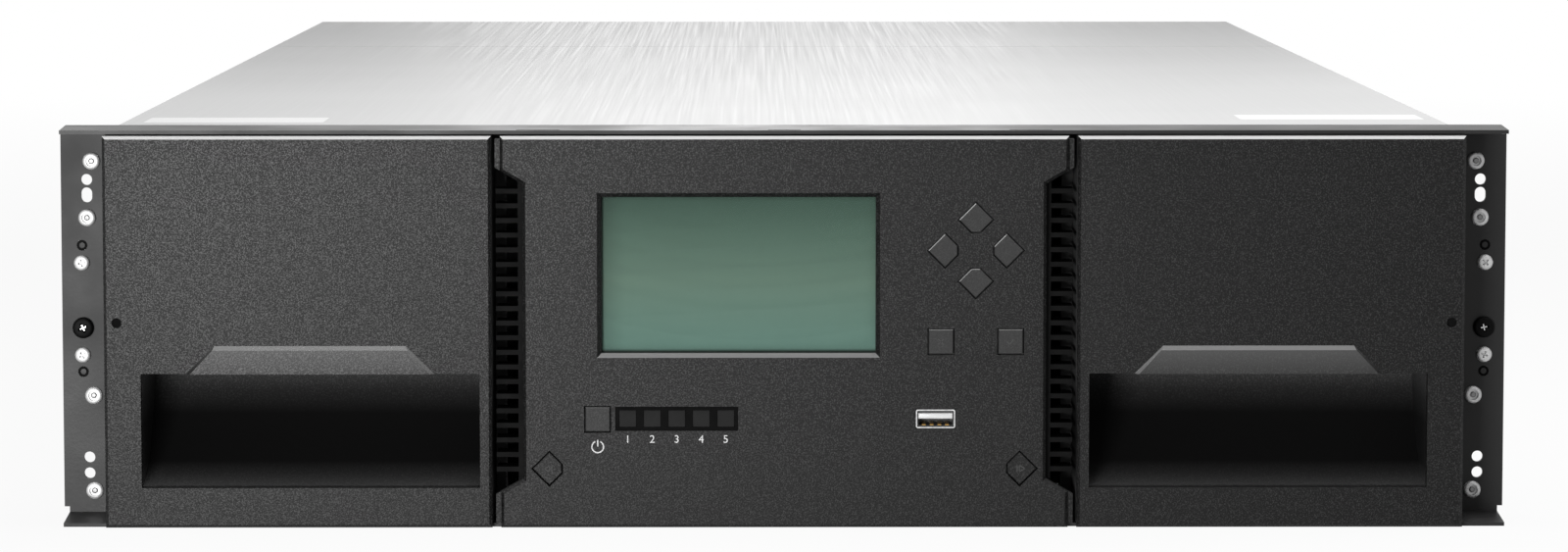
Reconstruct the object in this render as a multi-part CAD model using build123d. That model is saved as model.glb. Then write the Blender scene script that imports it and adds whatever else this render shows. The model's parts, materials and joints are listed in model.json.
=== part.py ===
from build123d import *
import os
from math import cos, pi, sin, sqrt

# Rack-mount data tape library, in millimetres.
# The origin is at the bottom centre of the whole part, +Z is up and the front faces -Y.
# Depths run back from the flat front face of the bezels.
# Paired pieces are drawn on the right, at +X, and mirrored to the left.

# Overall sizes
BODY_WIDTH = 440.6
HEIGHT = 130.0
DEPTH = 880.0
EAR_WIDTH = 19.2

# Clearances
FIT = 0.3
RUNNING = 0.06
BUTTON_GAP = 0.35

# Sheet thicknesses
FRAME_SHEET = 1.6
LIP_SHEET = 1.2
PAN_SHEET = 1.2
COVER_SHEET = 1.0
TRAY_SHEET = 1.2
FACEPLATE = 1.5

# Front frame: rack ears with a lip above and below the bezels
LIP_INSET = 3.3
LIP_CORNER = 1.7
LIP_SETBACK = 5.0
EAR_SETBACK = 33.4
EAR_CORNER = 3.0
FLANGE_EDGE = 4.0
LIP_SLOT_X = 80.5
LIP_SLOT_WIDTH = 14.0
LIP_MIDDLE_SLOT_WIDTH = 10.6
LIP_SLOT_SETBACK = 2.0
LIP_SLOT_DEPTH = 2.0
BAY_EDGE = 3.4
PANEL_BAY_WIDTH = 184.0
PANEL_BAY_EDGE = 6.0

# Ear fixings, given from the side of the body and from the bottom of the part
RACK_OFFSET = 12.25
RACK_SCREW_Z = 62.8
RACK_SCREW_R = 2.5
RACK_HEAD_R = 3.5
RACK_HEAD_DEPTH = 1.9
RACK_COLLAR_DEPTH = 1.5
RACK_SHANK_REACH = 16.0
EAR_HOLE_OFFSET = 10.7
EAR_HOLE_R = 1.85
EAR_HOLE_ZS = (112.0, 19.5, 14.2)
EAR_SLOT_Z = 106.9
EAR_SLOT_HEIGHT = 5.0
EAR_BLIND_OFFSET = 12.4
EAR_BLIND_R = 1.8
EAR_BLIND_ZS = (90.2, 48.1)
EAR_SCREW_OFFSET = 12.5
EAR_SCREW_ZS = (84.4, 53.7)
RIVET_PLACES = ((9.0, 118.2), (10.6, 99.4), (9.0, 40.2), (9.0, 8.4))
RIVET_R = 2.9
RIVET_HEAD = 1.5
SCREW_HEAD_R = 2.6
SCREW_HEAD = 1.7
FASTENER_SIDES = 16
HOLE_SIDES = 24

# Base pan
PAN_FLANGE = 17.5
PAN_TOP_FLANGE = 10.0
PAN_WINDOW_EDGE = 2.5

# Covers
SEAM_GAP = 0.8
SEAM_TONGUE = 10.0
COVER_FLANGE = 12.0
COVER_SCREW_INSET = 60.0
COVER_SCREW_DROP = 6.0

# Bezels
BEZEL_OVERHANG = 1.5
PANEL_WIDTH = 185.2
BEZEL_GAP = 2.9
BEZEL_FOOT = 0.3
BEZEL_LIP_GAP = 0.4
BEZEL_WALL = 3.0
BEZEL_CHAMFER = 1.0
BEZEL_RIM = 2.4
MAGAZINE_RIM_DEPTH = 30.0
RELEASE_HOLE_R = 1.65
RELEASE_HOLE_Z = 67.5
RELEASE_HOLE_INSET = 4.2

# Hand pocket and thumb lip of a magazine bezel
POCKET_HEIGHT = 37.5
POCKET_FOOT = 13.4
POCKET_DEPTH = 43.0
POCKET_INSET = 3.9
POCKET_OUTER_EDGE = 11.9
POCKET_WALL = 2.0
POCKET_SCOOP = 47.0
POCKET_HEEL = 17.0
THUMB_MARGIN = 14.8
THUMB_SLANT = 9.3
THUMB_HEIGHT = 9.1
THUMB_PROUD = 1.8
THUMB_TOP_PROUD = 1.0
THUMB_BEVEL = 1.4

# Control panel: vent notches, display, buttons, lights and port
NOTCH_DEPTH = 7.3
NOTCH_TOP = 112.9
NOTCH_FOOT = 16.3
NOTCH_RISE = 0.577
STEP_REACH = 1.7
STEP_SETBACK = 2.0
STEP_BACK = 4.8
PANEL_RIM_WIDTH = 170.0
PANEL_RIM_WALL = 1.5
PANEL_RIM_EDGE = 4.8
FIN_PITCH = 4.8
FIN_SHEET = 1.6
FIN_DEPTH = 11.0
FIN_SPINE = 2.0
FIN_REACH = 7.2
DISPLAY_X = -15.0
DISPLAY_Z = 83.0
DISPLAY_WIDTH = 92.2
DISPLAY_HEIGHT = 53.8
DISPLAY_BEVEL = 1.4
WINDOW_OVERLAP = 3.0
WINDOW_SHEET = 1.2
MODULE_OVERLAP = 2.5
MODULE_DEPTH = 4.8
BOARD_WIDTH = 162.0
BOARD_SHEET = 1.6
BOARD_EDGE = 9.0
BOSS_SIZE = 6.0
BOSS_X = 74.0
BOSS_ZS = (46.0, 115.0)
BUTTON_TRAVEL = 1.0
BUTTON_COLLAR = 0.6
BUTTON_COLLAR_DEPTH = 1.0
BUTTON_CHAMFER = 0.3
BUTTON_STEM = 3.0
DIAMOND_REACH = 5.5
DIAMOND_CUT = 4.1
SQUARE_HALF = 4.05
CURSOR_X = 62.3
CURSOR_Z = 91.1
CURSOR_SPREAD = 10.05
SQUARE_XS = (51.0, 73.7)
SQUARE_Z = 61.3
POWER_X = -61.0
POWER_Z = 35.9
MAGAZINE_BUTTON_X = 76.8
MAGAZINE_BUTTON_Z = 19.7
STRIP_X = -35.2
STRIP_Z = 36.1
STRIP_WIDTH = 39.8
STRIP_HEIGHT = 7.6
STRIP_GAP = 0.15
STRIP_COLLAR = 0.8
STRIP_COLLAR_DEPTH = 1.2
LENS_COUNT = 5
LENS_PITCH = 8.0
LENS_SIZE = 5.4
LENS_GAP = 0.1
LENS_RECESS = 0.4
LENS_DEPTH = 1.2
DATA_X = 49.3
DATA_Z = 36.0
DATA_WIDTH = 12.8
DATA_HEIGHT = 6.1
DATA_WALL = 0.4
DATA_GAP = 0.2
DATA_TONGUE_WIDTH = 11.2
DATA_TONGUE_SHEET = 1.8
DATA_TONGUE_RISE = 0.8
DATA_TONGUE_SETBACK = 1.0

# Magazines: a tray of slots, four columns by five rows, behind each bezel
COLUMN_COUNT = 4
ROW_COUNT = 5
ROW_PITCH = 23.1
SLOT_START = 61.2
SLOT_REAR_GAP = 84.2
DIVIDER_SHEET = 1.6
LEDGE_DEPTH = 8.0
LEDGE_SHEET = 1.2
DIVIDER_INSET = 1.0
TRAY_FLOOR = 10.4
TRAY_INNER = 109.0
TRAY_SIDE_GAP = 1.3
TAB_HEIGHT = 40.0
TAB_INSET = 3.0

# Magazine guides on the pan
GUIDE_START = 37.0
GUIDE_REAR_GAP = 10.0
GUIDE_FOOT = 12.3
GUIDE_LIP = 3.0
GUIDE_LIP_RISE = 1.3
OUTER_GUIDE_WIDTH = 10.0

# Robot: carriage along Y, lift along Z, picker about Z, gripper along Y
RAIL_INNER = 92.0
RAIL_WIDTH = 8.0
RAIL_HEIGHT = 4.2
RAIL_REAR_GAP = 6.0
CARRIAGE_HALF = 68.0
CARRIAGE_HALF_WIDTH = 95.0
CARRIAGE_SHEET = 2.0
CARRIAGE_FLOAT = 0.8
CARRIAGE_OPENING_R = 36.0
SCREW_X = 86.5
SCREW_R = 2.0
SCREW_RISE = 3.1
NUT_WIDTH = 10.0
NUT_LENGTH = 20.0
NUT_HEIGHT = 6.0
BEARING_DEPTH = 4.0
DRIVE_MOTOR_WIDTH = 17.0
DRIVE_MOTOR_HEIGHT = 18.8
DRIVE_MOTOR_LENGTH = 44.0
POST_X = 58.0
POST_Y = 62.0
POST_R = 3.0
POST_TOP = 124.0
LIFT_SCREW_X = 74.0
LIFT_SCREW_Y = -60.0
LIFT_SCREW_R = 2.5
LIFT_MOTOR_R = 8.0
LIFT_MOTOR_HEIGHT = 16.0
PLATFORM_HALF = 64.5
PLATFORM_SHEET = 2.0
PLATFORM_FLOAT = 2.9
PLATFORM_BOSS_R = 5.5
PLATFORM_BOSS_HEIGHT = 5.0
BRACKET_X = 60.0
BRACKET_WEB = 4.0
BRACKET_HALF = 6.0
BRACKET_REACH = 22.0
BRACKET_SHEET = 6.0
PICKER_WIDTH = 106.0
PICKER_LENGTH = 110.0
PICKER_SHEET = 1.2
PICKER_WALL = 1.5
PICKER_WALL_HEIGHT = 11.6
SPIGOT_R = 8.0
SPIGOT_FLANGE_R = 10.0
SPIGOT_FLANGE = 1.2
GRIPPER_WIDTH = 70.0
GRIPPER_LENGTH = 22.0
GRIPPER_HEIGHT = 9.0
FINGER_LENGTH = 26.0
FINGER_WIDTH = 4.0
READER_SIZE = (10.0, 14.0, 8.0)
READER_SETBACK = 12.0

# Drive bay
DRIVE_COUNT = 3
DRIVE_PITCH = 42.0
CAGE_LENGTH = 263.2
CAGE_WIDTH = 158.4
CAGE_LEDGE = 4.0
CAGE_LEDGE_SHEET = 0.9
CAGE_HEIGHT = 126.0
SLED_GAP = 0.6
SLED_SHEET = 1.0
SLED_WALL_HEIGHT = 18.0
SLED_VENTS = 8
SLED_VENT_START = 12.0
SLED_VENT_PITCH = 7.0
SLED_VENT_WIDTH = 3.5
SLED_VENT_HEIGHT = 22.0
DRIVE_SIDE_GAP = 3.4
DRIVE_HEIGHT = 39.5
DRIVE_LENGTH = 214.0
DRIVE_INSET = 1.0
MOUTH_WIDTH = 107.0
MOUTH_HEIGHT = 23.0
MOUTH_RISE = 8.0
MOUTH_DEPTH = 112.0

# Rear modules and their pull tabs
TAB_REACH = 12.0
TAB_SHEET = 1.5
TAB_WIDTH = 44.0
TAB_CHAMFER = 4.0
PANEL_LAP = 2.5
MODULE_GAP = 0.5
MODULE_INNER_GAP = 23.8
MODULE_OUTER_GAP = 5.1
SHELF_DEPTH = 62.0
SUPPLY_ZS = (16.0, 68.0)
SUPPLY_HEIGHT = 40.0
SUPPLY_LENGTH = 218.0
FAN_INSET = 22.0
FAN_R = 17.0
FAN_GAP = 0.8
FAN_DEPTH = 7.0
FAN_HUB_R = 7.0
FAN_SHAFT_R = 1.5
FAN_BLADES = 7
FAN_BLADE_SHEET = 1.0
FAN_BLADE_PITCH = 38.0
GUARD_BAR = 2.0
INLET_INSET = 18.0
INLET_WIDTH = 27.0
INLET_HEIGHT = 20.0
INLET_DEPTH = 16.0
INLET_PIN = (2.0, 4.0)
INLET_PIN_PLACES = ((-7.0, -2.0), (0.0, 2.5), (7.0, -2.0))
INLET_PIN_LENGTH = 13.0
CONTROLLER_Z = 16.0
CONTROLLER_HEIGHT = 64.0
CONTROLLER_LENGTH = 170.0
PORT_INSETS = (21.0, 41.0)
PORT_Z = 40.0
PORT_WIDTH = 16.0
PORT_HEIGHT = 13.5
PORT_DEPTH = 16.0
PORT_WALL = 2.0

# Levels and planes that several pieces share
BODY_HALF = BODY_WIDTH / 2
EAR_HALF = BODY_HALF + EAR_WIDTH
LIP_HALF = EAR_HALF - LIP_CORNER
LIP_FRONT_HALF = EAR_HALF - LIP_INSET
RACK_X = BODY_HALF + RACK_OFFSET
EAR_HOLE_X = BODY_HALF + EAR_HOLE_OFFSET
FRONT_Y = THUMB_PROUD - DEPTH / 2
REAR_FACE = DEPTH - THUMB_PROUD - TAB_REACH
PLATE_FRONT = REAR_FACE - FACEPLATE
REAR_PANEL_BACK = PLATE_FRONT - FIT
REAR_PANEL_FRONT = REAR_PANEL_BACK - PAN_SHEET
CAGE_START = REAR_PANEL_FRONT - CAGE_LENGTH
COVER_SEAM = CAGE_START
EAR_BACK = EAR_SETBACK + FRAME_SHEET
FLANGE_BACK = EAR_BACK + PAN_SHEET
PAN_HALF = BODY_HALF - COVER_SHEET
PAN_INNER = PAN_HALF - PAN_SHEET
COVER_UNDER = HEIGHT - COVER_SHEET
BEZEL_TOP = HEIGHT - LIP_SHEET - BEZEL_LIP_GAP
RIM_FOOT = LIP_SHEET + BEZEL_LIP_GAP
MAGAZINE_INNER = PANEL_WIDTH / 2 + BEZEL_GAP
MAGAZINE_OUTER = BODY_HALF + BEZEL_OVERHANG
POCKET_INNER = MAGAZINE_INNER + POCKET_INSET
POCKET_WIDTH = MAGAZINE_OUTER - POCKET_OUTER_EDGE - POCKET_INNER
THUMB_BASE = POCKET_WIDTH - 2 * THUMB_MARGIN
POCKET_TOP = POCKET_FOOT + POCKET_HEIGHT
TRAY_UNDER = TRAY_FLOOR - TRAY_SHEET
TRAY_OUTER = PAN_INNER - TRAY_SIDE_GAP
TRAY_TOP = TRAY_FLOOR + ROW_COUNT * ROW_PITCH
SLOT_END = CAGE_START - SLOT_REAR_GAP
SLOT_LENGTH = SLOT_END - SLOT_START
GUIDE_END = CAGE_START - GUIDE_REAR_GAP
RAIL_END = CAGE_START - RAIL_REAR_GAP
TRAY_FRONT = POCKET_DEPTH + POCKET_WALL
COLUMN_CLEAR = (SLOT_LENGTH - (COLUMN_COUNT - 1) * DIVIDER_SHEET) / COLUMN_COUNT
BOARD_FRONT = BEZEL_WALL + WINDOW_SHEET + MODULE_DEPTH
CARRIAGE_HOME = SLOT_START + SLOT_LENGTH / 2
CARRIAGE_UNDER = PAN_SHEET + CARRIAGE_FLOAT
CARRIAGE_TOP = CARRIAGE_UNDER + CARRIAGE_SHEET
SCREW_Z = CARRIAGE_TOP + SCREW_RISE
PLATFORM_UNDER = CARRIAGE_TOP + PLATFORM_FLOAT
PLATFORM_TOP = PLATFORM_UNDER + PLATFORM_SHEET
PICKER_UNDER = PLATFORM_TOP + FIT
PICKER_FLOOR = PICKER_UNDER + PICKER_SHEET
LIFT_MOTOR_TOP = CARRIAGE_TOP + LIFT_MOTOR_HEIGHT
CAGE_INNER = CAGE_WIDTH / 2 - PAN_SHEET
SLED_START_Z = PAN_SHEET + CAGE_LEDGE_SHEET + FIT
DRIVE_WIDTH = 2 * (CAGE_INNER - SLED_GAP - SLED_SHEET - DRIVE_SIDE_GAP)
MODULE_INNER = CAGE_WIDTH / 2 + MODULE_INNER_GAP
MODULE_OUTER = PAN_INNER - MODULE_OUTER_GAP
MODULE_WIDTH = MODULE_OUTER - MODULE_INNER
MODULE_X = (MODULE_INNER + MODULE_OUTER) / 2


def back(depth):
    """Return the Y of a depth behind the bezels' flat front face."""
    return FRONT_Y + depth


def block(x, depth, z):
    """Return a box between (low, high) limits in X, depth and Z."""
    size = [high - low for low, high in (x, depth, z)]
    middle = [(low + high) / 2 for low, high in (x, depth, z)]
    return Pos(middle[0], back(middle[1]), middle[2]) * Box(*size)


def around(centre, width):
    """Return the (low, high) limits of a width about a centre."""
    return (centre - width / 2, centre + width / 2)


def rod(x, z, radius, start, end):
    """Return a cylinder along Y between two depths."""
    return Pos(x, back((start + end) / 2), z) * Rot(90, 0, 0) * Cylinder(radius, end - start)


def post(x, depth, radius, low, high):
    """Return a cylinder along Z between two heights."""
    return Pos(x, back(depth), (low + high) / 2) * Cylinder(radius, high - low)


def prism(outline, start, end):
    """Return an (x, z) outline extruded back from one depth to another."""
    points = [(x, back(start), z) for x, z in outline]
    return extrude(make_face(Polyline(*points, close=True)), end - start, dir=(0, 1, 0))


def slab(outline, low, high):
    """Return an (x, depth) outline extruded up from one height to another."""
    points = [(x, back(depth), low) for x, depth in outline]
    return extrude(make_face(Polyline(*points, close=True)), high - low, dir=(0, 0, 1))


def channel(section, low, high):
    """Return a (depth, z) section extruded along X from low to high."""
    points = [(low, back(depth), z) for depth, z in section]
    return extrude(make_face(Polyline(*points, close=True)), high - low, dir=(1, 0, 0))


def frustum(front, rear, start, end):
    """Return a loft between two (x, z) outlines at two depths."""
    ends = []
    for outline, depth in ((front, start), (rear, end)):
        points = [(x, back(depth), z) for x, z in outline]
        ends.append(make_face(Polyline(*points, close=True)))
    return loft(ends)


def many_sided(x, z, radius, sides=FASTENER_SIDES):
    """Return the (x, z) corners of a small round, with few sides."""
    turns = [2 * pi * index / sides for index in range(sides)]
    return [(x + radius * cos(turn), z + radius * sin(turn)) for turn in turns]


def rectangle(x, z, width, height):
    """Return the (x, z) corners of a rectangle about its centre."""
    half, rise = width / 2, height / 2
    return [(x - half, z - rise), (x + half, z - rise), (x + half, z + rise), (x - half, z + rise)]


def left_of(piece):
    """Return the mirror image of a right-hand piece."""
    return mirror(piece, about=Plane.YZ)


def group(pieces):
    """Return separate solids as one compound."""
    return Compound(children=[solid for piece in pieces for solid in piece.solids()])


def both_sides(pieces):
    """Return right-hand pieces and their mirror images as one compound."""
    return group(list(pieces) + [left_of(piece) for piece in pieces])


# Front frame and chassis
def ear_through_cuts(start, end):
    """Return the see-through holes and the slot of the right ear."""
    bolt_zs, spare_z = EAR_HOLE_ZS[:2], EAR_HOLE_ZS[2]
    cuts = [rod(EAR_HOLE_X, z, EAR_HOLE_R, start, end) for z in bolt_zs]
    cuts.append(prism(many_sided(EAR_HOLE_X, spare_z, EAR_HOLE_R, HOLE_SIDES), start, end))
    straight = EAR_SLOT_HEIGHT / 2 - EAR_HOLE_R
    slot = block(around(EAR_HOLE_X, 2 * EAR_HOLE_R), (start, end), around(EAR_SLOT_Z, 2 * straight))
    for z in (EAR_SLOT_Z - straight, EAR_SLOT_Z + straight):
        slot += prism(many_sided(EAR_HOLE_X, z, EAR_HOLE_R, HOLE_SIDES), start, end)
    return cuts + [slot]


def front_frame():
    """Black sheet frame: ears at the sides, lips above and below, and three bays."""
    plate = block((-EAR_HALF, EAR_HALF), (EAR_SETBACK, EAR_BACK), (0, HEIGHT))
    for low, high in ((0, EAR_CORNER), (HEIGHT - EAR_CORNER, HEIGHT)):
        for side in (-1, 1):
            edge = sorted((side * LIP_HALF, side * (EAR_HALF + 1)))
            plate -= block(edge, (EAR_SETBACK - 1, EAR_BACK + 1), (low, high))
    frame = plate
    lip_end = ((LIP_FRONT_HALF, LIP_SETBACK), (LIP_HALF, EAR_SETBACK), (LIP_HALF, EAR_BACK))
    half_lip = ((0, LIP_SETBACK), *lip_end, (0, EAR_BACK))
    for low in (0, HEIGHT - LIP_SHEET):
        lip = slab(half_lip, low, low + LIP_SHEET)
        frame += lip + left_of(lip)
    span = (EAR_SETBACK - 1, EAR_BACK + 1)
    frame -= block(around(0, PANEL_BAY_WIDTH), span, (PANEL_BAY_EDGE, HEIGHT - PANEL_BAY_EDGE))
    bay_outer = TRAY_OUTER + TRAY_SIDE_GAP
    bay_inner = POCKET_INNER - POCKET_WALL - FIT
    bay = block((bay_inner, bay_outer), span, (BAY_EDGE, HEIGHT - BAY_EDGE))
    rack_hole = rod(RACK_X, RACK_SCREW_Z, RACK_SCREW_R + RUNNING, *span)
    blind_x = BODY_HALF + EAR_BLIND_OFFSET
    blind = [prism(many_sided(blind_x, z, EAR_BLIND_R), *span) for z in EAR_BLIND_ZS]
    for cut in [bay, rack_hole] + blind + ear_through_cuts(*span):
        frame -= cut
        frame -= left_of(cut)
    slot_start = LIP_SETBACK + LIP_SLOT_SETBACK
    slots = ((-LIP_SLOT_X, LIP_SLOT_WIDTH), (0, LIP_MIDDLE_SLOT_WIDTH), (LIP_SLOT_X, LIP_SLOT_WIDTH))
    for x, width in slots:
        depth = (slot_start, slot_start + LIP_SLOT_DEPTH)
        frame -= block(around(x, width), depth, (HEIGHT - 2 * LIP_SHEET, HEIGHT + 1))
    return frame


def base_pan():
    """Folded pan: floor, sides, front flanges behind the ears and top flanges under the covers."""
    run = (EAR_BACK, REAR_PANEL_BACK)
    pan = block(around(0, 2 * PAN_HALF), run, (0, PAN_SHEET))
    side = block((PAN_INNER, PAN_HALF), run, (0, COVER_UNDER))
    side += block((PAN_HALF - PAN_TOP_FLANGE, PAN_HALF), run, (COVER_UNDER - PAN_SHEET, COVER_UNDER))
    flange_z = (FLANGE_EDGE, HEIGHT - FLANGE_EDGE)
    side += block((PAN_INNER, PAN_HALF + PAN_FLANGE), (EAR_BACK, FLANGE_BACK), flange_z)
    span = (EAR_BACK - 1, FLANGE_BACK + 1)
    side -= rod(RACK_X, RACK_SCREW_Z, RACK_SCREW_R + FIT, *span)
    reach = EAR_HOLE_R + PAN_WINDOW_EDGE
    window_x = (EAR_HOLE_X - reach, EAR_HOLE_X + reach)
    for zs in ((EAR_HOLE_ZS[0], EAR_SLOT_Z), EAR_HOLE_ZS[1:]):
        side -= block(window_x, span, (min(zs) - reach, max(zs) + reach))
    return pan + side + left_of(side)


def top_cover(start, end):
    """Top cover sheet with a down-turned flange along each side."""
    cover = block((-BODY_HALF, BODY_HALF), (start, end), (COVER_UNDER, HEIGHT))
    flange_start = max(start, FLANGE_BACK + FIT)
    flange = block((PAN_HALF, BODY_HALF), (flange_start, end), (COVER_UNDER - COVER_FLANGE, HEIGHT))
    return cover + flange + left_of(flange)


def front_top_cover():
    """Front cover, over the magazines and the robot."""
    return top_cover(EAR_BACK, COVER_SEAM)


def rear_top_cover():
    """Rear cover, with a tongue that reaches under the front cover."""
    cover = top_cover(COVER_SEAM + SEAM_GAP, REAR_PANEL_BACK)
    tongue_half = PAN_HALF - PAN_TOP_FLANGE - FIT
    tongue_z = (COVER_UNDER - COVER_SHEET, COVER_UNDER)
    run = (COVER_SEAM - SEAM_TONGUE, COVER_SEAM + SEAM_GAP + SEAM_TONGUE)
    return cover + block(around(0, 2 * tongue_half), run, tongue_z)


def pan_head_screws():
    """Pan-head screws: on the ears, and along the covers' side flanges."""
    heads = []
    for z in EAR_SCREW_ZS:
        head = many_sided(BODY_HALF + EAR_SCREW_OFFSET, z, SCREW_HEAD_R)
        heads.append(prism(head, EAR_SETBACK - SCREW_HEAD, EAR_SETBACK))
    cover_ends = (EAR_BACK, COVER_SEAM, COVER_SEAM + SEAM_GAP, REAR_PANEL_BACK)
    for end, inward in zip(cover_ends, (1, -1, 1, -1)):
        centre = (end + inward * COVER_SCREW_INSET, COVER_UNDER - COVER_SCREW_DROP)
        heads.append(channel(many_sided(*centre, SCREW_HEAD_R), BODY_HALF, BODY_HALF + SCREW_HEAD))
    return both_sides(heads)


def ear_rivets():
    """Blind rivets that hold the ears to the pan's front flanges."""
    rivets = []
    for offset, z in RIVET_PLACES:
        foot, crown = (many_sided(BODY_HALF + offset, z, radius) for radius in (RIVET_R, RIVET_R / 2))
        rivets.append(frustum(foot, crown, EAR_SETBACK, EAR_SETBACK - RIVET_HEAD))
    return both_sides(rivets)


def captive_screw():
    """Captive rack screw: head before the ear, collar behind it and a free shank."""
    head_back = EAR_SETBACK - FIT
    collar = FLANGE_BACK + FIT
    rim = many_sided(RACK_X, RACK_SCREW_Z, RACK_HEAD_R)
    screw = prism(rim, head_back - RACK_HEAD_DEPTH, head_back)
    screw += prism(rim, collar, collar + RACK_COLLAR_DEPTH)
    return screw + rod(RACK_X, RACK_SCREW_Z, RACK_SCREW_R, head_back, collar + RACK_SHANK_REACH)


# Control panel
def moulded_plate(outline):
    """Front plate of a bezel from its (x, z) outline, with its front edges chamfered."""
    plate = prism(outline, 0, BEZEL_WALL)
    return chamfer(plate.faces().sort_by(Axis.Y)[0].edges(), BEZEL_CHAMFER)


def diamond(x, z, point, grow=0.0):
    """Square on its corner, cut flat on the side away from its point, as an (x, z) outline."""
    reach = DIAMOND_REACH + grow * sqrt(2)
    cut = DIAMOND_CUT + grow
    ahead, across = point, (-point[1], point[0])
    corners = ((reach, 0), (0, reach), (-cut, reach - cut), (-cut, cut - reach), (0, -reach))
    return [(x + a * ahead[0] + b * across[0], z + a * ahead[1] + b * across[1]) for a, b in corners]


def square(x, z, grow=0.0):
    """Square button outline."""
    return rectangle(x, z, 2 * (SQUARE_HALF + grow), 2 * (SQUARE_HALF + grow))


def button_outlines(grow=0.0):
    """Return each button's name, centre and outline, grown all round."""
    arms = {"up_button": (0, 1), "down_button": (0, -1), "left_button": (-1, 0), "right_button": (1, 0)}
    found = {}
    for name, point in arms.items():
        centre = (CURSOR_X + point[0] * CURSOR_SPREAD, CURSOR_Z + point[1] * CURSOR_SPREAD)
        found[name] = (centre, diamond(*centre, point, grow))
    for name, x in zip(("back_button", "enter_button"), SQUARE_XS):
        found[name] = ((x, SQUARE_Z), square(x, SQUARE_Z, grow))
    found["power_button"] = ((POWER_X, POWER_Z), square(POWER_X, POWER_Z, grow))
    for name, side in (("left_magazine_button", -1), ("right_magazine_button", 1)):
        centre = (side * MAGAZINE_BUTTON_X, MAGAZINE_BUTTON_Z)
        found[name] = (centre, diamond(*centre, (side, 0), grow))
    return found


def button(name):
    """Button cap with a collar behind the bezel and a stem towards the board."""
    centre, outline = button_outlines()[name]
    collar = button_outlines(BUTTON_COLLAR)[name][1]
    collar_front = BEZEL_WALL + FIT
    collar_back = collar_front + BUTTON_COLLAR_DEPTH
    cap = prism(outline, 0, collar_front)
    cap = chamfer(cap.faces().sort_by(Axis.Y)[0].edges(), BUTTON_CHAMFER)
    stem = prism(rectangle(*centre, BUTTON_STEM, BUTTON_STEM), collar_back, BOARD_FRONT - BUTTON_TRAVEL - FIT)
    return cap + prism(collar, collar_front, collar_back) + stem


def control_panel_bezel():
    """Centre bezel: notched plate, stepped edge, rim behind, and openings for what shows."""
    half = PANEL_WIDTH / 2
    step_half = half + STEP_REACH
    step_z = (BEZEL_FOOT + BEZEL_CHAMFER, BEZEL_TOP - BEZEL_CHAMFER)
    inner = half - NOTCH_DEPTH
    slope = NOTCH_DEPTH * NOTCH_RISE
    right_edge = [
        (half, BEZEL_FOOT), (half, NOTCH_FOOT - slope), (inner, NOTCH_FOOT), (inner, NOTCH_TOP),
        (half, NOTCH_TOP + slope), (half, BEZEL_TOP),
    ]
    bezel = moulded_plate(right_edge + [(-x, z) for x, z in reversed(right_edge)])
    bezel += block((-step_half, step_half), (STEP_SETBACK, STEP_BACK), step_z)
    rim_z = (PANEL_RIM_EDGE, HEIGHT - PANEL_RIM_EDGE)
    bezel += block(around(0, PANEL_RIM_WIDTH), (STEP_SETBACK, EAR_SETBACK), rim_z)
    cavity_z = (rim_z[0] + PANEL_RIM_WALL, rim_z[1] - PANEL_RIM_WALL)
    cavity_width = PANEL_RIM_WIDTH - 2 * PANEL_RIM_WALL
    bezel -= block(around(0, cavity_width), (BEZEL_WALL, EAR_SETBACK + 1), cavity_z)
    for z in BOSS_ZS:
        for x in (-BOSS_X, BOSS_X):
            bezel += prism(rectangle(x, z, BOSS_SIZE, BOSS_SIZE), BEZEL_WALL, BOARD_FRONT)
    outer = step_half + 1
    rise = (outer - inner) * NOTCH_RISE
    notch = ((inner, NOTCH_FOOT), (outer, NOTCH_FOOT - rise), (outer, NOTCH_TOP + rise), (inner, NOTCH_TOP))
    notch_cut = prism(notch, STEP_SETBACK, STEP_BACK + 1)
    bezel = bezel - notch_cut - left_of(notch_cut)
    clear_width = DISPLAY_WIDTH - 2 * DISPLAY_BEVEL
    clear_height = DISPLAY_HEIGHT - 2 * DISPLAY_BEVEL
    clear = rectangle(DISPLAY_X, DISPLAY_Z, clear_width, clear_height)
    wide = rectangle(DISPLAY_X, DISPLAY_Z, DISPLAY_WIDTH, DISPLAY_HEIGHT)
    bezel -= prism(clear, -1, BEZEL_WALL + 1)
    bezel -= frustum(wide, clear, 0, DISPLAY_BEVEL)
    for _, outline in button_outlines(BUTTON_GAP).values():
        bezel -= prism(outline, -1, BEZEL_WALL + 1)
    strip = rectangle(STRIP_X, STRIP_Z, STRIP_WIDTH + 2 * STRIP_GAP, STRIP_HEIGHT + 2 * STRIP_GAP)
    bezel -= prism(strip, -1, BEZEL_WALL + 1)
    port = rectangle(DATA_X, DATA_Z, DATA_WIDTH + 2 * DATA_GAP, DATA_HEIGHT + 2 * DATA_GAP)
    return bezel - prism(port, -1, BEZEL_WALL + 1)


def display_window():
    """Clear window seated behind the bezel's display opening."""
    width = DISPLAY_WIDTH + 2 * WINDOW_OVERLAP
    height = DISPLAY_HEIGHT + 2 * WINDOW_OVERLAP
    outline = rectangle(DISPLAY_X, DISPLAY_Z, width, height)
    return prism(outline, BEZEL_WALL, BEZEL_WALL + WINDOW_SHEET)


def display_module():
    """Display behind the window, on the board."""
    width = DISPLAY_WIDTH + 2 * (WINDOW_OVERLAP + MODULE_OVERLAP)
    height = DISPLAY_HEIGHT + 2 * (WINDOW_OVERLAP + MODULE_OVERLAP)
    outline = rectangle(DISPLAY_X, DISPLAY_Z, width, height)
    return prism(outline, BEZEL_WALL + WINDOW_SHEET, BOARD_FRONT)


def control_board():
    """Circuit board on the bezel's bosses."""
    z = (BOARD_EDGE, HEIGHT - BOARD_EDGE)
    return block(around(0, BOARD_WIDTH), (BOARD_FRONT, BOARD_FRONT + BOARD_SHEET), z)


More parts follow.
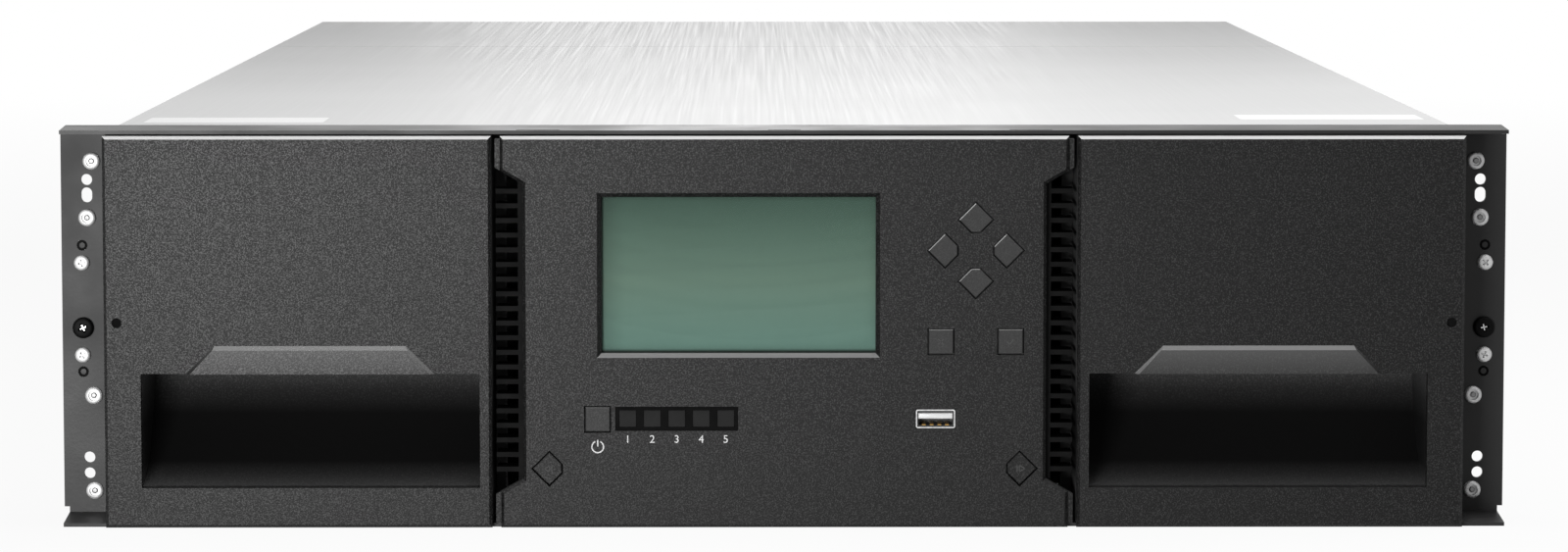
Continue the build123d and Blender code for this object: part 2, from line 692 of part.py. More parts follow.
def lens_squares(size, start, end):
    """Return the row of square light lenses, or their pockets."""
    first = STRIP_X - (LENS_COUNT - 1) * LENS_PITCH / 2
    places = [first + index * LENS_PITCH for index in range(LENS_COUNT)]
    return [prism(rectangle(x, STRIP_Z, size, size), start, end) for x in places]


def status_strip():
    """Black strip of status lights, with a pocket for each lens and a collar behind the bezel."""
    strip = prism(rectangle(STRIP_X, STRIP_Z, STRIP_WIDTH, STRIP_HEIGHT), 0, BEZEL_WALL)
    collar = rectangle(STRIP_X, STRIP_Z, STRIP_WIDTH + 2 * STRIP_COLLAR, STRIP_HEIGHT + 2 * STRIP_COLLAR)
    strip += prism(collar, BEZEL_WALL, BEZEL_WALL + STRIP_COLLAR_DEPTH)
    for pocket in lens_squares(LENS_SIZE + 2 * LENS_GAP, -1, LENS_RECESS + LENS_DEPTH):
        strip -= pocket
    return strip


def status_lenses():
    """Square light lenses, seated in the strip."""
    return group(lens_squares(LENS_SIZE, LENS_RECESS, LENS_RECESS + LENS_DEPTH))


def data_port():
    """Metal port sleeve on the board, with its contact tongue."""
    sleeve = prism(rectangle(DATA_X, DATA_Z, DATA_WIDTH, DATA_HEIGHT), DATA_GAP, BOARD_FRONT)
    inner_width, inner_height = DATA_WIDTH - 2 * DATA_WALL, DATA_HEIGHT - 2 * DATA_WALL
    floor = BOARD_FRONT - DATA_WALL
    sleeve -= prism(rectangle(DATA_X, DATA_Z, inner_width, inner_height), DATA_GAP - 1, floor)
    tongue = rectangle(DATA_X, DATA_Z + DATA_TONGUE_RISE, DATA_TONGUE_WIDTH, DATA_TONGUE_SHEET)
    return sleeve + prism(tongue, DATA_GAP + DATA_TONGUE_SETBACK, BOARD_FRONT)


def vent_grilles():
    """Comb of level fins in each vent notch, carried by a spine against the rim."""
    spine_x = PANEL_RIM_WIDTH / 2
    depth = (STEP_BACK, STEP_BACK + FIN_DEPTH)
    comb = block((spine_x, spine_x + FIN_SPINE), depth, (NOTCH_FOOT - FIN_PITCH, NOTCH_TOP + FIN_PITCH))
    count = int((NOTCH_TOP - NOTCH_FOOT) / FIN_PITCH)
    first = (NOTCH_TOP + NOTCH_FOOT - (count - 1) * FIN_PITCH) / 2
    fin_x = (spine_x + FIN_SPINE / 2, spine_x + FIN_SPINE + FIN_REACH)
    comb += [block(fin_x, depth, around(first + index * FIN_PITCH, FIN_SHEET)) for index in range(count)]
    return both_sides([comb])


# Magazines
def pocket_section(grow):
    """Return the side profile of the pocket's shell as a face: floor, rounded heel, back and ceiling."""
    front = -THUMB_PROUD - 1 if grow == 0 else STEP_SETBACK
    foot, top = POCKET_FOOT - grow, POCKET_TOP + grow
    rear = POCKET_DEPTH + grow
    heel = POCKET_HEEL + grow
    edge = POCKET_INNER - POCKET_WALL

    def at(depth, z):
        return (edge, back(depth), z)

    corners = ((rear, foot + heel), (rear, top), (front, top), (front, foot), (rear - heel, foot))
    outline = Polyline(*[at(*corner) for corner in corners])
    half = heel * sqrt(0.5)
    heel_middle = at(rear - heel + half, foot + heel - half)
    arc = ThreePointArc(at(rear - heel, foot), heel_middle, at(rear, foot + heel))
    return make_face(outline + arc)


def scoop_roll(grow):
    """Return the cylinder along X whose side is the pocket's curve from its front edge to its back."""
    chord = sqrt(POCKET_DEPTH**2 + POCKET_HEIGHT**2)
    stand = sqrt(POCKET_SCOOP**2 - chord**2 / 4) / chord
    depth = POCKET_DEPTH / 2 - POCKET_HEIGHT * stand
    z = POCKET_FOOT + POCKET_HEIGHT / 2 + POCKET_DEPTH * stand
    middle = POCKET_INNER + POCKET_WIDTH / 2
    roll = Rot(0, 90, 0) * Cylinder(POCKET_SCOOP + grow, POCKET_WIDTH + 4 * POCKET_WALL)
    return Pos(middle, back(depth), z) * roll


def pocket():
    """Return the pocket's shell: a curved scoop over a hollow heel that is open at its ends."""
    shell_width = POCKET_WIDTH + 2 * POCKET_WALL
    shell = extrude(pocket_section(POCKET_WALL), shell_width, dir=(1, 0, 0))
    return shell - (extrude(pocket_section(0), shell_width, dir=(1, 0, 0)) - scoop_roll(POCKET_WALL))


def pocket_space():
    """Return the room in the pocket, out through the front of the bezel."""
    inside = (POCKET_INNER, POCKET_INNER + POCKET_WIDTH)
    room = block(inside, (-THUMB_PROUD - 1, POCKET_DEPTH), (POCKET_FOOT, POCKET_TOP))
    return room & scoop_roll(0)


def thumb_lip():
    """Raised trapezoid above the pocket, with bevelled top and slanted edges."""
    middle = POCKET_INNER + POCKET_WIDTH / 2
    base, top = POCKET_TOP, POCKET_TOP + THUMB_HEIGHT
    drop = THUMB_HEIGHT / 2

    def outline(inset):
        low_half = THUMB_BASE / 2 - inset + THUMB_SLANT * drop / THUMB_HEIGHT
        high_half = THUMB_BASE / 2 - THUMB_SLANT - inset
        corners = ((-low_half, base - drop), (low_half, base - drop), (high_half, top), (-high_half, top))
        return [(middle + x, z) for x, z in corners]

    body = frustum(outline(0), outline(THUMB_BEVEL), 0, -THUMB_PROUD)
    section = ((1, base), (1, top), (0, top), (-THUMB_TOP_PROUD, top - THUMB_BEVEL), (-THUMB_PROUD, base))
    return body & channel(section, middle - THUMB_BASE, middle + THUMB_BASE)


def magazine_bezel():
    """Magazine front: chamfered plate, rim behind it, thumb lip and a deep hand pocket."""
    rim_x = (MAGAZINE_INNER, MAGAZINE_OUTER)
    middle, width = sum(rim_x) / 2, MAGAZINE_OUTER - MAGAZINE_INNER
    bezel = moulded_plate(rectangle(middle, (BEZEL_FOOT + BEZEL_TOP) / 2, width, BEZEL_TOP - BEZEL_FOOT))
    rim = block(rim_x, (STEP_SETBACK, MAGAZINE_RIM_DEPTH), (RIM_FOOT, BEZEL_TOP))
    hollow_x = (rim_x[0] + BEZEL_RIM, rim_x[1] - BEZEL_RIM)
    hollow_z = (RIM_FOOT + BEZEL_RIM, BEZEL_TOP - BEZEL_RIM)
    rim -= block(hollow_x, (BEZEL_WALL, MAGAZINE_RIM_DEPTH + 1), hollow_z)
    bezel += rim
    bezel += thumb_lip()
    bezel += pocket()
    bezel -= pocket_space()
    hole_x = MAGAZINE_OUTER - RELEASE_HOLE_INSET
    return bezel - rod(hole_x, RELEASE_HOLE_Z, RELEASE_HOLE_R, -1, BEZEL_WALL)


def magazine_tray():
    """Folded tray behind the bezel: floor, end walls, outer wall and a tab against the pocket."""
    floor_x = (TRAY_INNER, TRAY_OUTER)
    run = (SLOT_START - TRAY_SHEET, SLOT_END + TRAY_SHEET)
    tray = block(floor_x, run, (TRAY_UNDER, TRAY_FLOOR))
    tray += block((TRAY_OUTER - TRAY_SHEET, TRAY_OUTER), run, (TRAY_UNDER, TRAY_TOP))
    for start in (SLOT_START - TRAY_SHEET, SLOT_END):
        tray += block(floor_x, (start, start + TRAY_SHEET), (TRAY_UNDER, TRAY_TOP))
    tab_x = (TRAY_INNER, POCKET_INNER + POCKET_WIDTH - TAB_INSET)
    tray += block(tab_x, (TRAY_FRONT, SLOT_START), (TRAY_UNDER, TRAY_FLOOR))
    return tray + block(tab_x, (TRAY_FRONT, TRAY_FRONT + TRAY_SHEET), (TRAY_UNDER, TRAY_FLOOR + TAB_HEIGHT))


def magazine_dividers():
    """Upright dividers between the columns, and the ledges that carry each row."""
    slot_x = (TRAY_INNER + DIVIDER_INSET, TRAY_OUTER - TRAY_SHEET)
    pieces = []
    for column in range(COLUMN_COUNT):
        start = SLOT_START + column * (COLUMN_CLEAR + DIVIDER_SHEET)
        end = start + COLUMN_CLEAR
        for row in range(1, ROW_COUNT):
            top = TRAY_FLOOR + row * ROW_PITCH
            for ledge in ((start, start + LEDGE_DEPTH), (end - LEDGE_DEPTH, end)):
                pieces.append(block(slot_x, ledge, (top - LEDGE_SHEET, top)))
        if column < COLUMN_COUNT - 1:
            pieces.append(block(slot_x, (end, end + DIVIDER_SHEET), (TRAY_FLOOR, TRAY_TOP)))
    return group(pieces)


def magazine_guides():
    """Rails on the pan that each magazine tray slides on."""
    run = (GUIDE_START, GUIDE_END)
    top = TRAY_UNDER - FIT
    lip_x = (TRAY_INNER - FIT - GUIDE_LIP, TRAY_INNER - FIT)
    inner = block((lip_x[0], lip_x[0] + GUIDE_FOOT), run, (PAN_SHEET, top))
    inner += block(lip_x, run, (PAN_SHEET, top + GUIDE_LIP_RISE))
    outer = block((TRAY_OUTER - OUTER_GUIDE_WIDTH, TRAY_OUTER), run, (PAN_SHEET, top))
    return both_sides([inner, outer])


# Robot
def robot_guide_rails():
    """Grooved rails on the pan that the carriage plate's edges run in."""
    run = (GUIDE_START, RAIL_END)
    rail = block((RAIL_INNER, RAIL_INNER + RAIL_WIDTH), run, (PAN_SHEET, PAN_SHEET + RAIL_HEIGHT))
    groove_z = (CARRIAGE_UNDER - FIT, CARRIAGE_TOP + FIT)
    groove = block((RAIL_INNER - 1, CARRIAGE_HALF_WIDTH + FIT), (run[0] - 1, run[1] + 1), groove_z)
    return both_sides([rail - groove])


def carriage_screw():
    """Long screw that drives the carriage, from the front bearing to the motor."""
    return rod(SCREW_X, SCREW_Z, SCREW_R, GUIDE_START + FIT, RAIL_END)


def nut_block(start, end, low, high):
    """Block around the carriage screw, bored for it."""
    piece = block(around(SCREW_X, NUT_WIDTH), (start, end), (low, high))
    return piece - rod(SCREW_X, SCREW_Z, SCREW_R + RUNNING, start - 1, end + 1)


def screw_bearing():
    """Front bearing block of the carriage screw, on the pan."""
    return nut_block(GUIDE_START, GUIDE_START + BEARING_DEPTH, PAN_SHEET, CARRIAGE_TOP + NUT_HEIGHT)


def carriage_motor():
    """Geared motor at the rear end of the carriage screw, on the pan."""
    start = RAIL_END + FIT
    x = (CAGE_WIDTH / 2 + FIT, CAGE_WIDTH / 2 + FIT + DRIVE_MOTOR_WIDTH)
    gearbox = block(x, (start, start + DRIVE_MOTOR_LENGTH / 4), (PAN_SHEET, PAN_SHEET + DRIVE_MOTOR_HEIGHT))
    can_r = min(DRIVE_MOTOR_WIDTH, DRIVE_MOTOR_HEIGHT) / 2
    can_x, can_z = (x[0] + x[1]) / 2, PAN_SHEET + DRIVE_MOTOR_HEIGHT / 2
    return gearbox + rod(can_x, can_z, can_r, start, start + DRIVE_MOTOR_LENGTH)


def carriage_plate():
    """Carriage plate that runs in the rails, with the nut of the carriage screw."""
    run = around(CARRIAGE_HOME, 2 * CARRIAGE_HALF)
    plate = block(around(0, 2 * CARRIAGE_HALF_WIDTH), run, (CARRIAGE_UNDER, CARRIAGE_TOP))
    plate -= post(0, CARRIAGE_HOME, CARRIAGE_OPENING_R, CARRIAGE_UNDER - 1, CARRIAGE_TOP + 1)
    nut = around(CARRIAGE_HOME, NUT_LENGTH)
    return plate + nut_block(*nut, CARRIAGE_TOP, CARRIAGE_TOP + NUT_HEIGHT)


def post_places():
    """Return the (x, depth) of the lift posts, at three corners of the carriage."""
    rear, front = CARRIAGE_HOME + POST_Y, CARRIAGE_HOME - POST_Y
    return ((-POST_X, rear), (POST_X, rear), (-POST_X, front))


def lift_posts():
    """Round posts that guide the lift."""
    return group([post(x, depth, POST_R, CARRIAGE_TOP, POST_TOP) for x, depth in post_places()])


def lift_motor():
    """Motor under the lift screw."""
    depth = CARRIAGE_HOME + LIFT_SCREW_Y
    return post(LIFT_SCREW_X, depth, LIFT_MOTOR_R, CARRIAGE_TOP, LIFT_MOTOR_TOP)


def lift_screw():
    """Upright screw at the fourth corner of the carriage."""
    depth = CARRIAGE_HOME + LIFT_SCREW_Y
    return post(LIFT_SCREW_X, depth, LIFT_SCREW_R, LIFT_MOTOR_TOP + FIT, POST_TOP)


def lift_platform():
    """Platform that rides up the posts, with bushes, a nut bracket and the picker's bearing."""
    run = around(CARRIAGE_HOME, 2 * CARRIAGE_HALF)
    platform = block(around(0, 2 * PLATFORM_HALF), run, (PLATFORM_UNDER, PLATFORM_TOP))
    for x, depth in post_places():
        platform += post(x, depth, PLATFORM_BOSS_R, PLATFORM_UNDER, PLATFORM_TOP + PLATFORM_BOSS_HEIGHT)
    nut_depth = CARRIAGE_HOME + LIFT_SCREW_Y
    side = (nut_depth - BRACKET_HALF, nut_depth + BRACKET_HALF)
    low = LIFT_MOTOR_TOP + CARRIAGE_SHEET
    platform += block((BRACKET_X, BRACKET_X + BRACKET_WEB), side, (PLATFORM_UNDER, low + BRACKET_SHEET))
    platform += block((BRACKET_X, BRACKET_X + BRACKET_REACH), side, (low, low + BRACKET_SHEET))
    span = (PLATFORM_UNDER - 1, POST_TOP)
    for x, depth in post_places():
        platform -= post(x, depth, POST_R + RUNNING, *span)
    platform -= post(LIFT_SCREW_X, nut_depth, LIFT_SCREW_R + RUNNING, low - 1, POST_TOP)
    return platform - post(0, CARRIAGE_HOME, SPIGOT_R + RUNNING, *span)


def picker_tray():
    """Turning tray that holds one cartridge, on a spigot through the platform."""
    run = around(CARRIAGE_HOME, PICKER_LENGTH)
    half = PICKER_WIDTH / 2
    tray = block((-half, half), run, (PICKER_UNDER, PICKER_FLOOR))
    wall = block((half - PICKER_WALL, half), run, (PICKER_UNDER, PICKER_FLOOR + PICKER_WALL_HEIGHT))
    flange_top = PLATFORM_UNDER - FIT
    tray += [wall, left_of(wall)]
    tray += post(0, CARRIAGE_HOME, SPIGOT_R, flange_top - SPIGOT_FLANGE, PICKER_UNDER)
    return tray + post(0, CARRIAGE_HOME, SPIGOT_FLANGE_R, flange_top - SPIGOT_FLANGE, flange_top)


def gripper():
    """Gripper block at the back of the picker tray, with two fingers."""
    start = CARRIAGE_HOME - PICKER_LENGTH / 2 + FIT
    z = (PICKER_FLOOR + FIT, PICKER_FLOOR + FIT + GRIPPER_HEIGHT)
    body = block(around(0, GRIPPER_WIDTH), (start, start + GRIPPER_LENGTH), z)
    reach = (start + GRIPPER_LENGTH / 2, start + GRIPPER_LENGTH + FINGER_LENGTH)
    finger = block((GRIPPER_WIDTH / 2 - FINGER_WIDTH, GRIPPER_WIDTH / 2), reach, z)
    return body + finger + left_of(finger)


def barcode_reader():
    """Reader on the picker tray's left wall."""
    width, length, height = READER_SIZE
    start = CARRIAGE_HOME - PICKER_LENGTH / 2 + READER_SETBACK
    low = PICKER_FLOOR + PICKER_WALL_HEIGHT
    return block((-PICKER_WIDTH / 2, width - PICKER_WIDTH / 2), (start, start + length), (low, low + height))


# Drive bay
def drive_cage():
    """Side wall of the drive bay, with a ledge under each sled, on both sides."""
    run = (CAGE_START, REAR_PANEL_FRONT)
    wall = block((CAGE_INNER, CAGE_WIDTH / 2), run, (PAN_SHEET, PAN_SHEET + CAGE_HEIGHT))
    for index in range(DRIVE_COUNT):
        low = PAN_SHEET + index * DRIVE_PITCH
        wall += block((CAGE_INNER - CAGE_LEDGE, CAGE_INNER), run, (low, low + CAGE_LEDGE_SHEET))
    return both_sides([wall])


def pull_tab(x, z):
    """Flat pull tab that stands out behind a faceplate, with its far corners cut."""
    half = TAB_WIDTH / 2
    far = REAR_FACE + TAB_REACH
    cut = far - TAB_CHAMFER
    outline = (
        (x - half, REAR_FACE), (x + half, REAR_FACE), (x + half, cut),
        (x + half - TAB_CHAMFER, far), (x - half + TAB_CHAMFER, far), (x - half, cut),
    )
    return slab(outline, z, z + TAB_SHEET)


def drive_sled(index):
    """Drive sled: folded tray on the cage's ledges, with a faceplate and a pull tab."""
    low = SLED_START_Z + index * DRIVE_PITCH
    half = CAGE_INNER - SLED_GAP
    run = (CAGE_START, REAR_FACE)
    sled = block((-half, half), run, (low, low + SLED_SHEET))
    wall = block((half - SLED_SHEET, half), run, (low, low + SLED_WALL_HEIGHT))
    plate_half = CAGE_INNER + PANEL_LAP
    plate_z = (low - FIT, low - FIT + DRIVE_PITCH - SLED_GAP)
    plate = block((-plate_half, plate_half), (PLATE_FRONT, REAR_FACE), plate_z)
    for step in range(SLED_VENTS):
        vent_x = around(SLED_VENT_START + step * SLED_VENT_PITCH, SLED_VENT_WIDTH)
        plate -= block(vent_x, (PLATE_FRONT - 1, REAR_FACE + 1), around(sum(plate_z) / 2, SLED_VENT_HEIGHT))
    sled += [wall, left_of(wall), plate]
    return sled + pull_tab(0, low)


def tape_drive(index):
    """Tape drive on its sled, with the cartridge mouth towards the robot."""
    low = SLED_START_Z + index * DRIVE_PITCH + SLED_SHEET
    start = CAGE_START + DRIVE_INSET
    drive = block(around(0, DRIVE_WIDTH), (start, start + DRIVE_LENGTH), (low, low + DRIVE_HEIGHT))
    mouth_z = (low + MOUTH_RISE, low + MOUTH_RISE + MOUTH_HEIGHT)
    return drive - block(around(0, MOUTH_WIDTH), (start - 1, start + MOUTH_DEPTH), mouth_z)


# Rear modules
def module_bays():
    """Return each rear module's (x centre, low z, height)."""
    supplies = [(-MODULE_X, z, SUPPLY_HEIGHT) for z in SUPPLY_ZS]
    return supplies + [(MODULE_X, CONTROLLER_Z, CONTROLLER_HEIGHT)]


def rear_panel():
    """Rear panel with a bay for each module, and folded shelves under them."""
    sheet = (REAR_PANEL_FRONT, REAR_PANEL_BACK)
    flange_under = COVER_UNDER - PAN_SHEET
    panel = block(around(0, 2 * PAN_INNER), sheet, (PAN_SHEET, flange_under))
    panel += block(around(0, 2 * (PAN_HALF - PAN_TOP_FLANGE)), sheet, (flange_under, COVER_UNDER))
    span = (REAR_PANEL_FRONT - 1, REAR_PANEL_BACK + 1)
    drives_top = SLED_START_Z + DRIVE_COUNT * DRIVE_PITCH - FIT
    panel -= block(around(0, 2 * CAGE_INNER), span, (PAN_SHEET + CAGE_LEDGE_SHEET, drives_top - MODULE_GAP))
    for x, low, height in module_bays():
        bay_z = (low - MODULE_GAP, low + height + MODULE_GAP)
        panel -= block(around(x, MODULE_WIDTH + 2 * MODULE_GAP), span, bay_z)
        shelf = (REAR_PANEL_FRONT - SHELF_DEPTH, REAR_PANEL_BACK)
        panel += block(around(x, MODULE_WIDTH), shelf, (low - FIT - PAN_SHEET, low - FIT))
    return panel


def module_case(x, low, height, length):
    """Box of a rear module, with its faceplate and pull tab."""
    z = (low, low + height)
    case = block(around(x, MODULE_WIDTH), (REAR_FACE - length, REAR_FACE), z)
    plate_z = (low - PANEL_LAP, low + height + PANEL_LAP)
    case += block(around(x, MODULE_WIDTH + 2 * PANEL_LAP), (PLATE_FRONT, REAR_FACE), plate_z)
    return case + pull_tab(x, low)


def fan_place(index):
    """Return the (x, z) centre of a power supply's fan."""
    return (FAN_INSET - MODULE_OUTER, SUPPLY_ZS[index] + SUPPLY_HEIGHT / 2)


def power_supply(index):
    """Power supply: fan tunnel with a spoked guard, and a mains inlet with three pins."""
    low = SUPPLY_ZS[index]
    case = module_case(-MODULE_X, low, SUPPLY_HEIGHT, SUPPLY_LENGTH)
    x, z = fan_place(index)
    tunnel_r = FAN_R + FAN_GAP
    tunnel_back = REAR_FACE - FACEPLATE
    tunnel_front = tunnel_back - FAN_DEPTH - 2 * FIT
    case -= rod(x, z, tunnel_r, tunnel_front, tunnel_back)
    bars = block(around(x, GUARD_BAR), (tunnel_back, REAR_FACE), around(z, 2 * tunnel_r))
    bars += block(around(x, 2 * tunnel_r), (tunnel_back, REAR_FACE), around(z, GUARD_BAR))
    bars += prism(many_sided(x, z, FAN_HUB_R, HOLE_SIDES), tunnel_back, REAR_FACE)
    case -= rod(x, z, tunnel_r, tunnel_back, REAR_FACE + 1) - bars
    case += rod(x, z, FAN_SHAFT_R, tunnel_front, REAR_FACE)
    inlet_x, inlet_z = -MODULE_INNER - INLET_INSET, low + SUPPLY_HEIGHT / 2
    inlet = rectangle(inlet_x, inlet_z, INLET_WIDTH, INLET_HEIGHT)
    case -= prism(inlet, REAR_FACE - INLET_DEPTH, REAR_FACE + 1)
    for across, up in INLET_PIN_PLACES:
        pin = rectangle(inlet_x + across, inlet_z + up, *INLET_PIN)
        case += prism(pin, REAR_FACE - INLET_DEPTH, REAR_FACE - INLET_DEPTH + INLET_PIN_LENGTH)
    return case


def power_supply_fan(index):
    """Fan rotor on the shaft in a power supply's tunnel."""
    x, z = fan_place(index)
    end = REAR_FACE - FACEPLATE - FIT
    start = end - FAN_DEPTH
    rotor = prism(many_sided(x, z, FAN_HUB_R, HOLE_SIDES), start, end)
    length = FAN_R - FAN_HUB_R / 2
    tall = FAN_DEPTH - 2 * FAN_BLADE_SHEET
    blade = Pos(FAN_R - length / 2, 0, 0) * Rot(FAN_BLADE_PITCH, 0, 0) * Box(length, FAN_BLADE_SHEET, tall)
    hub = Pos(x, back((start + end) / 2), z) * Rot(90, 0, 0)
    for step in range(FAN_BLADES):
        rotor += hub * Rot(0, 0, 360 * step / FAN_BLADES) * blade
    return rotor - rod(x, z, FAN_SHAFT_R + RUNNING, start - 1, end + 1)


def controller_module():
    """Controller box with a cut-out for each network port."""
    case = module_case(MODULE_X, CONTROLLER_Z, CONTROLLER_HEIGHT, CONTROLLER_LENGTH)
    for inset in PORT_INSETS:
        port = rectangle(MODULE_INNER + inset, CONTROLLER_Z + PORT_Z, PORT_WIDTH, PORT_HEIGHT)
        case -= prism(port, REAR_FACE - PORT_DEPTH, REAR_FACE + 1)
    return case


def controller_ports():
    """Network sockets in the controller's cut-outs."""
    sockets = []
    for inset in PORT_INSETS:
        centre = (MODULE_INNER + inset, CONTROLLER_Z + PORT_Z)
        socket = prism(rectangle(*centre, PORT_WIDTH, PORT_HEIGHT), REAR_FACE - PORT_DEPTH, REAR_FACE)
        hollow = rectangle(*centre, PORT_WIDTH - 2 * PORT_WALL, PORT_HEIGHT - 2 * PORT_WALL)
        sockets.append(socket - prism(hollow, REAR_FACE - PORT_DEPTH + PORT_WALL, REAR_FACE + 1))
    return group(sockets)


def sided(piece):
    """Return a right-hand piece under both its left and its right name."""
    built = piece()
    name = piece.__name__
    return {"right_" + name: built, "left_" + name: left_of(built)}


def build_nodes():
    """Return every piece of the library under its node name."""
    single = (
        front_frame, base_pan, front_top_cover, rear_top_cover, rear_panel, pan_head_screws, ear_rivets,
        control_panel_bezel, display_window, display_module, control_board, status_strip, status_lenses,
        data_port, vent_grilles, magazine_guides, robot_guide_rails, carriage_screw, screw_bearing,
        carriage_motor, carriage_plate, lift_posts, lift_motor, lift_screw, lift_platform, picker_tray,
        gripper, barcode_reader, drive_cage, controller_module, controller_ports,
    )
    nodes = {piece.__name__: piece() for piece in single}
    for piece in (captive_screw, magazine_bezel, magazine_tray, magazine_dividers):
        nodes.update(sided(piece))
    nodes.update({name: button(name) for name in button_outlines()})
    for index in range(DRIVE_COUNT):
        nodes[f"drive_sled_{index + 1}"] = drive_sled(index)
        nodes[f"tape_drive_{index + 1}"] = tape_drive(index)
    for index in range(len(SUPPLY_ZS)):
        nodes[f"power_supply_{index + 1}"] = power_supply(index)
        nodes[f"power_supply_fan_{index + 1}"] = power_supply_fan(index)
    return nodes


if __name__ == "__main__":
    os.makedirs("parts", exist_ok=True)
    for node, shape in build_nodes().items():
        export_step(shape, f"parts/{node}.step")
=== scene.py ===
"""Looks of a rack-mount data tape library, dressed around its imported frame.

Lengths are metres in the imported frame: the front faces -Y, +X is right and +Z is up.
"""

import json
import logging
import math
from dataclasses import dataclass
from enum import Enum
from typing import Callable, Dict, List, Optional, Sequence, Tuple, Union

import bpy
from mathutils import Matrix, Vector

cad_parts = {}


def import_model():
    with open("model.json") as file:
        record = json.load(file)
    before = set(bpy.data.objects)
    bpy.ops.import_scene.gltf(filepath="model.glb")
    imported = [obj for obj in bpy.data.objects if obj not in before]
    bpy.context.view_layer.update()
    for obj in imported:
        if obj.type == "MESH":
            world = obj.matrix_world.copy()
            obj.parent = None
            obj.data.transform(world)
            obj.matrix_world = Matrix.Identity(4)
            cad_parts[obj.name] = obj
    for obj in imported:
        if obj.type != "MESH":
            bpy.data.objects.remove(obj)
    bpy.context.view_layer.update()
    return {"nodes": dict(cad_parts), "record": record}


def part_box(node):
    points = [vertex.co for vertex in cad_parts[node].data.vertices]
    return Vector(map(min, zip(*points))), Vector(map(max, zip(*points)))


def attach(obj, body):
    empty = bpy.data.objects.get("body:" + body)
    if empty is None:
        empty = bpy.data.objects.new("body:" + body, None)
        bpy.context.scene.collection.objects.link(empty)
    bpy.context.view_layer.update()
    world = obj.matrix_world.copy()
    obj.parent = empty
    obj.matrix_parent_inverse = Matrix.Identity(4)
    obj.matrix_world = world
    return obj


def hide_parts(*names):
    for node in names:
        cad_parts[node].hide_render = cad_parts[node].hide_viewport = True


LOG = logging.getLogger("tape_library")

Colour = Tuple[float, float, float]
Point = Tuple[float, float, float]
Span = Tuple[float, float]
Row = Tuple[float, float, float, float]
Socket = bpy.types.NodeSocket
Value = Union[Socket, float, Colour]
Thing = bpy.types.Object

BEZEL_FRONT = -0.4382
EAR_FACE = -0.4048
BODY_SIDE = 0.2203
REAR_FACE = 0.428
QUARTER_TURN = math.pi / 2
SHARP_ANGLE = math.radians(35.0)
ALONG = 0.9
FLAT = 0.99
UNIT: Span = (0.0, 1.0)
NOISE_SPAN: Span = (0.3, 0.7)


class Pick(Enum):
    """Kind of mesh element that is selected in edit mode."""

    VERTEX = "VERT"
    EDGE = "EDGE"
    FACE = "FACE"


class Facing(Enum):
    """Turn that points a piece modelled along +Z in another direction."""

    FRONT = (QUARTER_TURN, 0.0, 0.0)
    BACK = (-QUARTER_TURN, 0.0, 0.0)
    RIGHT = (0.0, QUARTER_TURN, 0.0)
    LEFT = (0.0, -QUARTER_TURN, 0.0)


def folded(tree: bpy.types.NodeTree, operation: str, values: Sequence[Socket]) -> Socket:
    """Return values combined by a chain of math nodes.

    Args:
        tree: Node tree to work in.
        operation: What each math node does.
        values: Values to combine.

    Returns:
        The result.
    """
    result = values[0]
    for value in values[1:]:
        node = tree.nodes.new("ShaderNodeMath")
        node.operation = operation
        tree.links.new(result, node.inputs[0])
        tree.links.new(value, node.inputs[1])
        result = node.outputs["Value"]
    return result


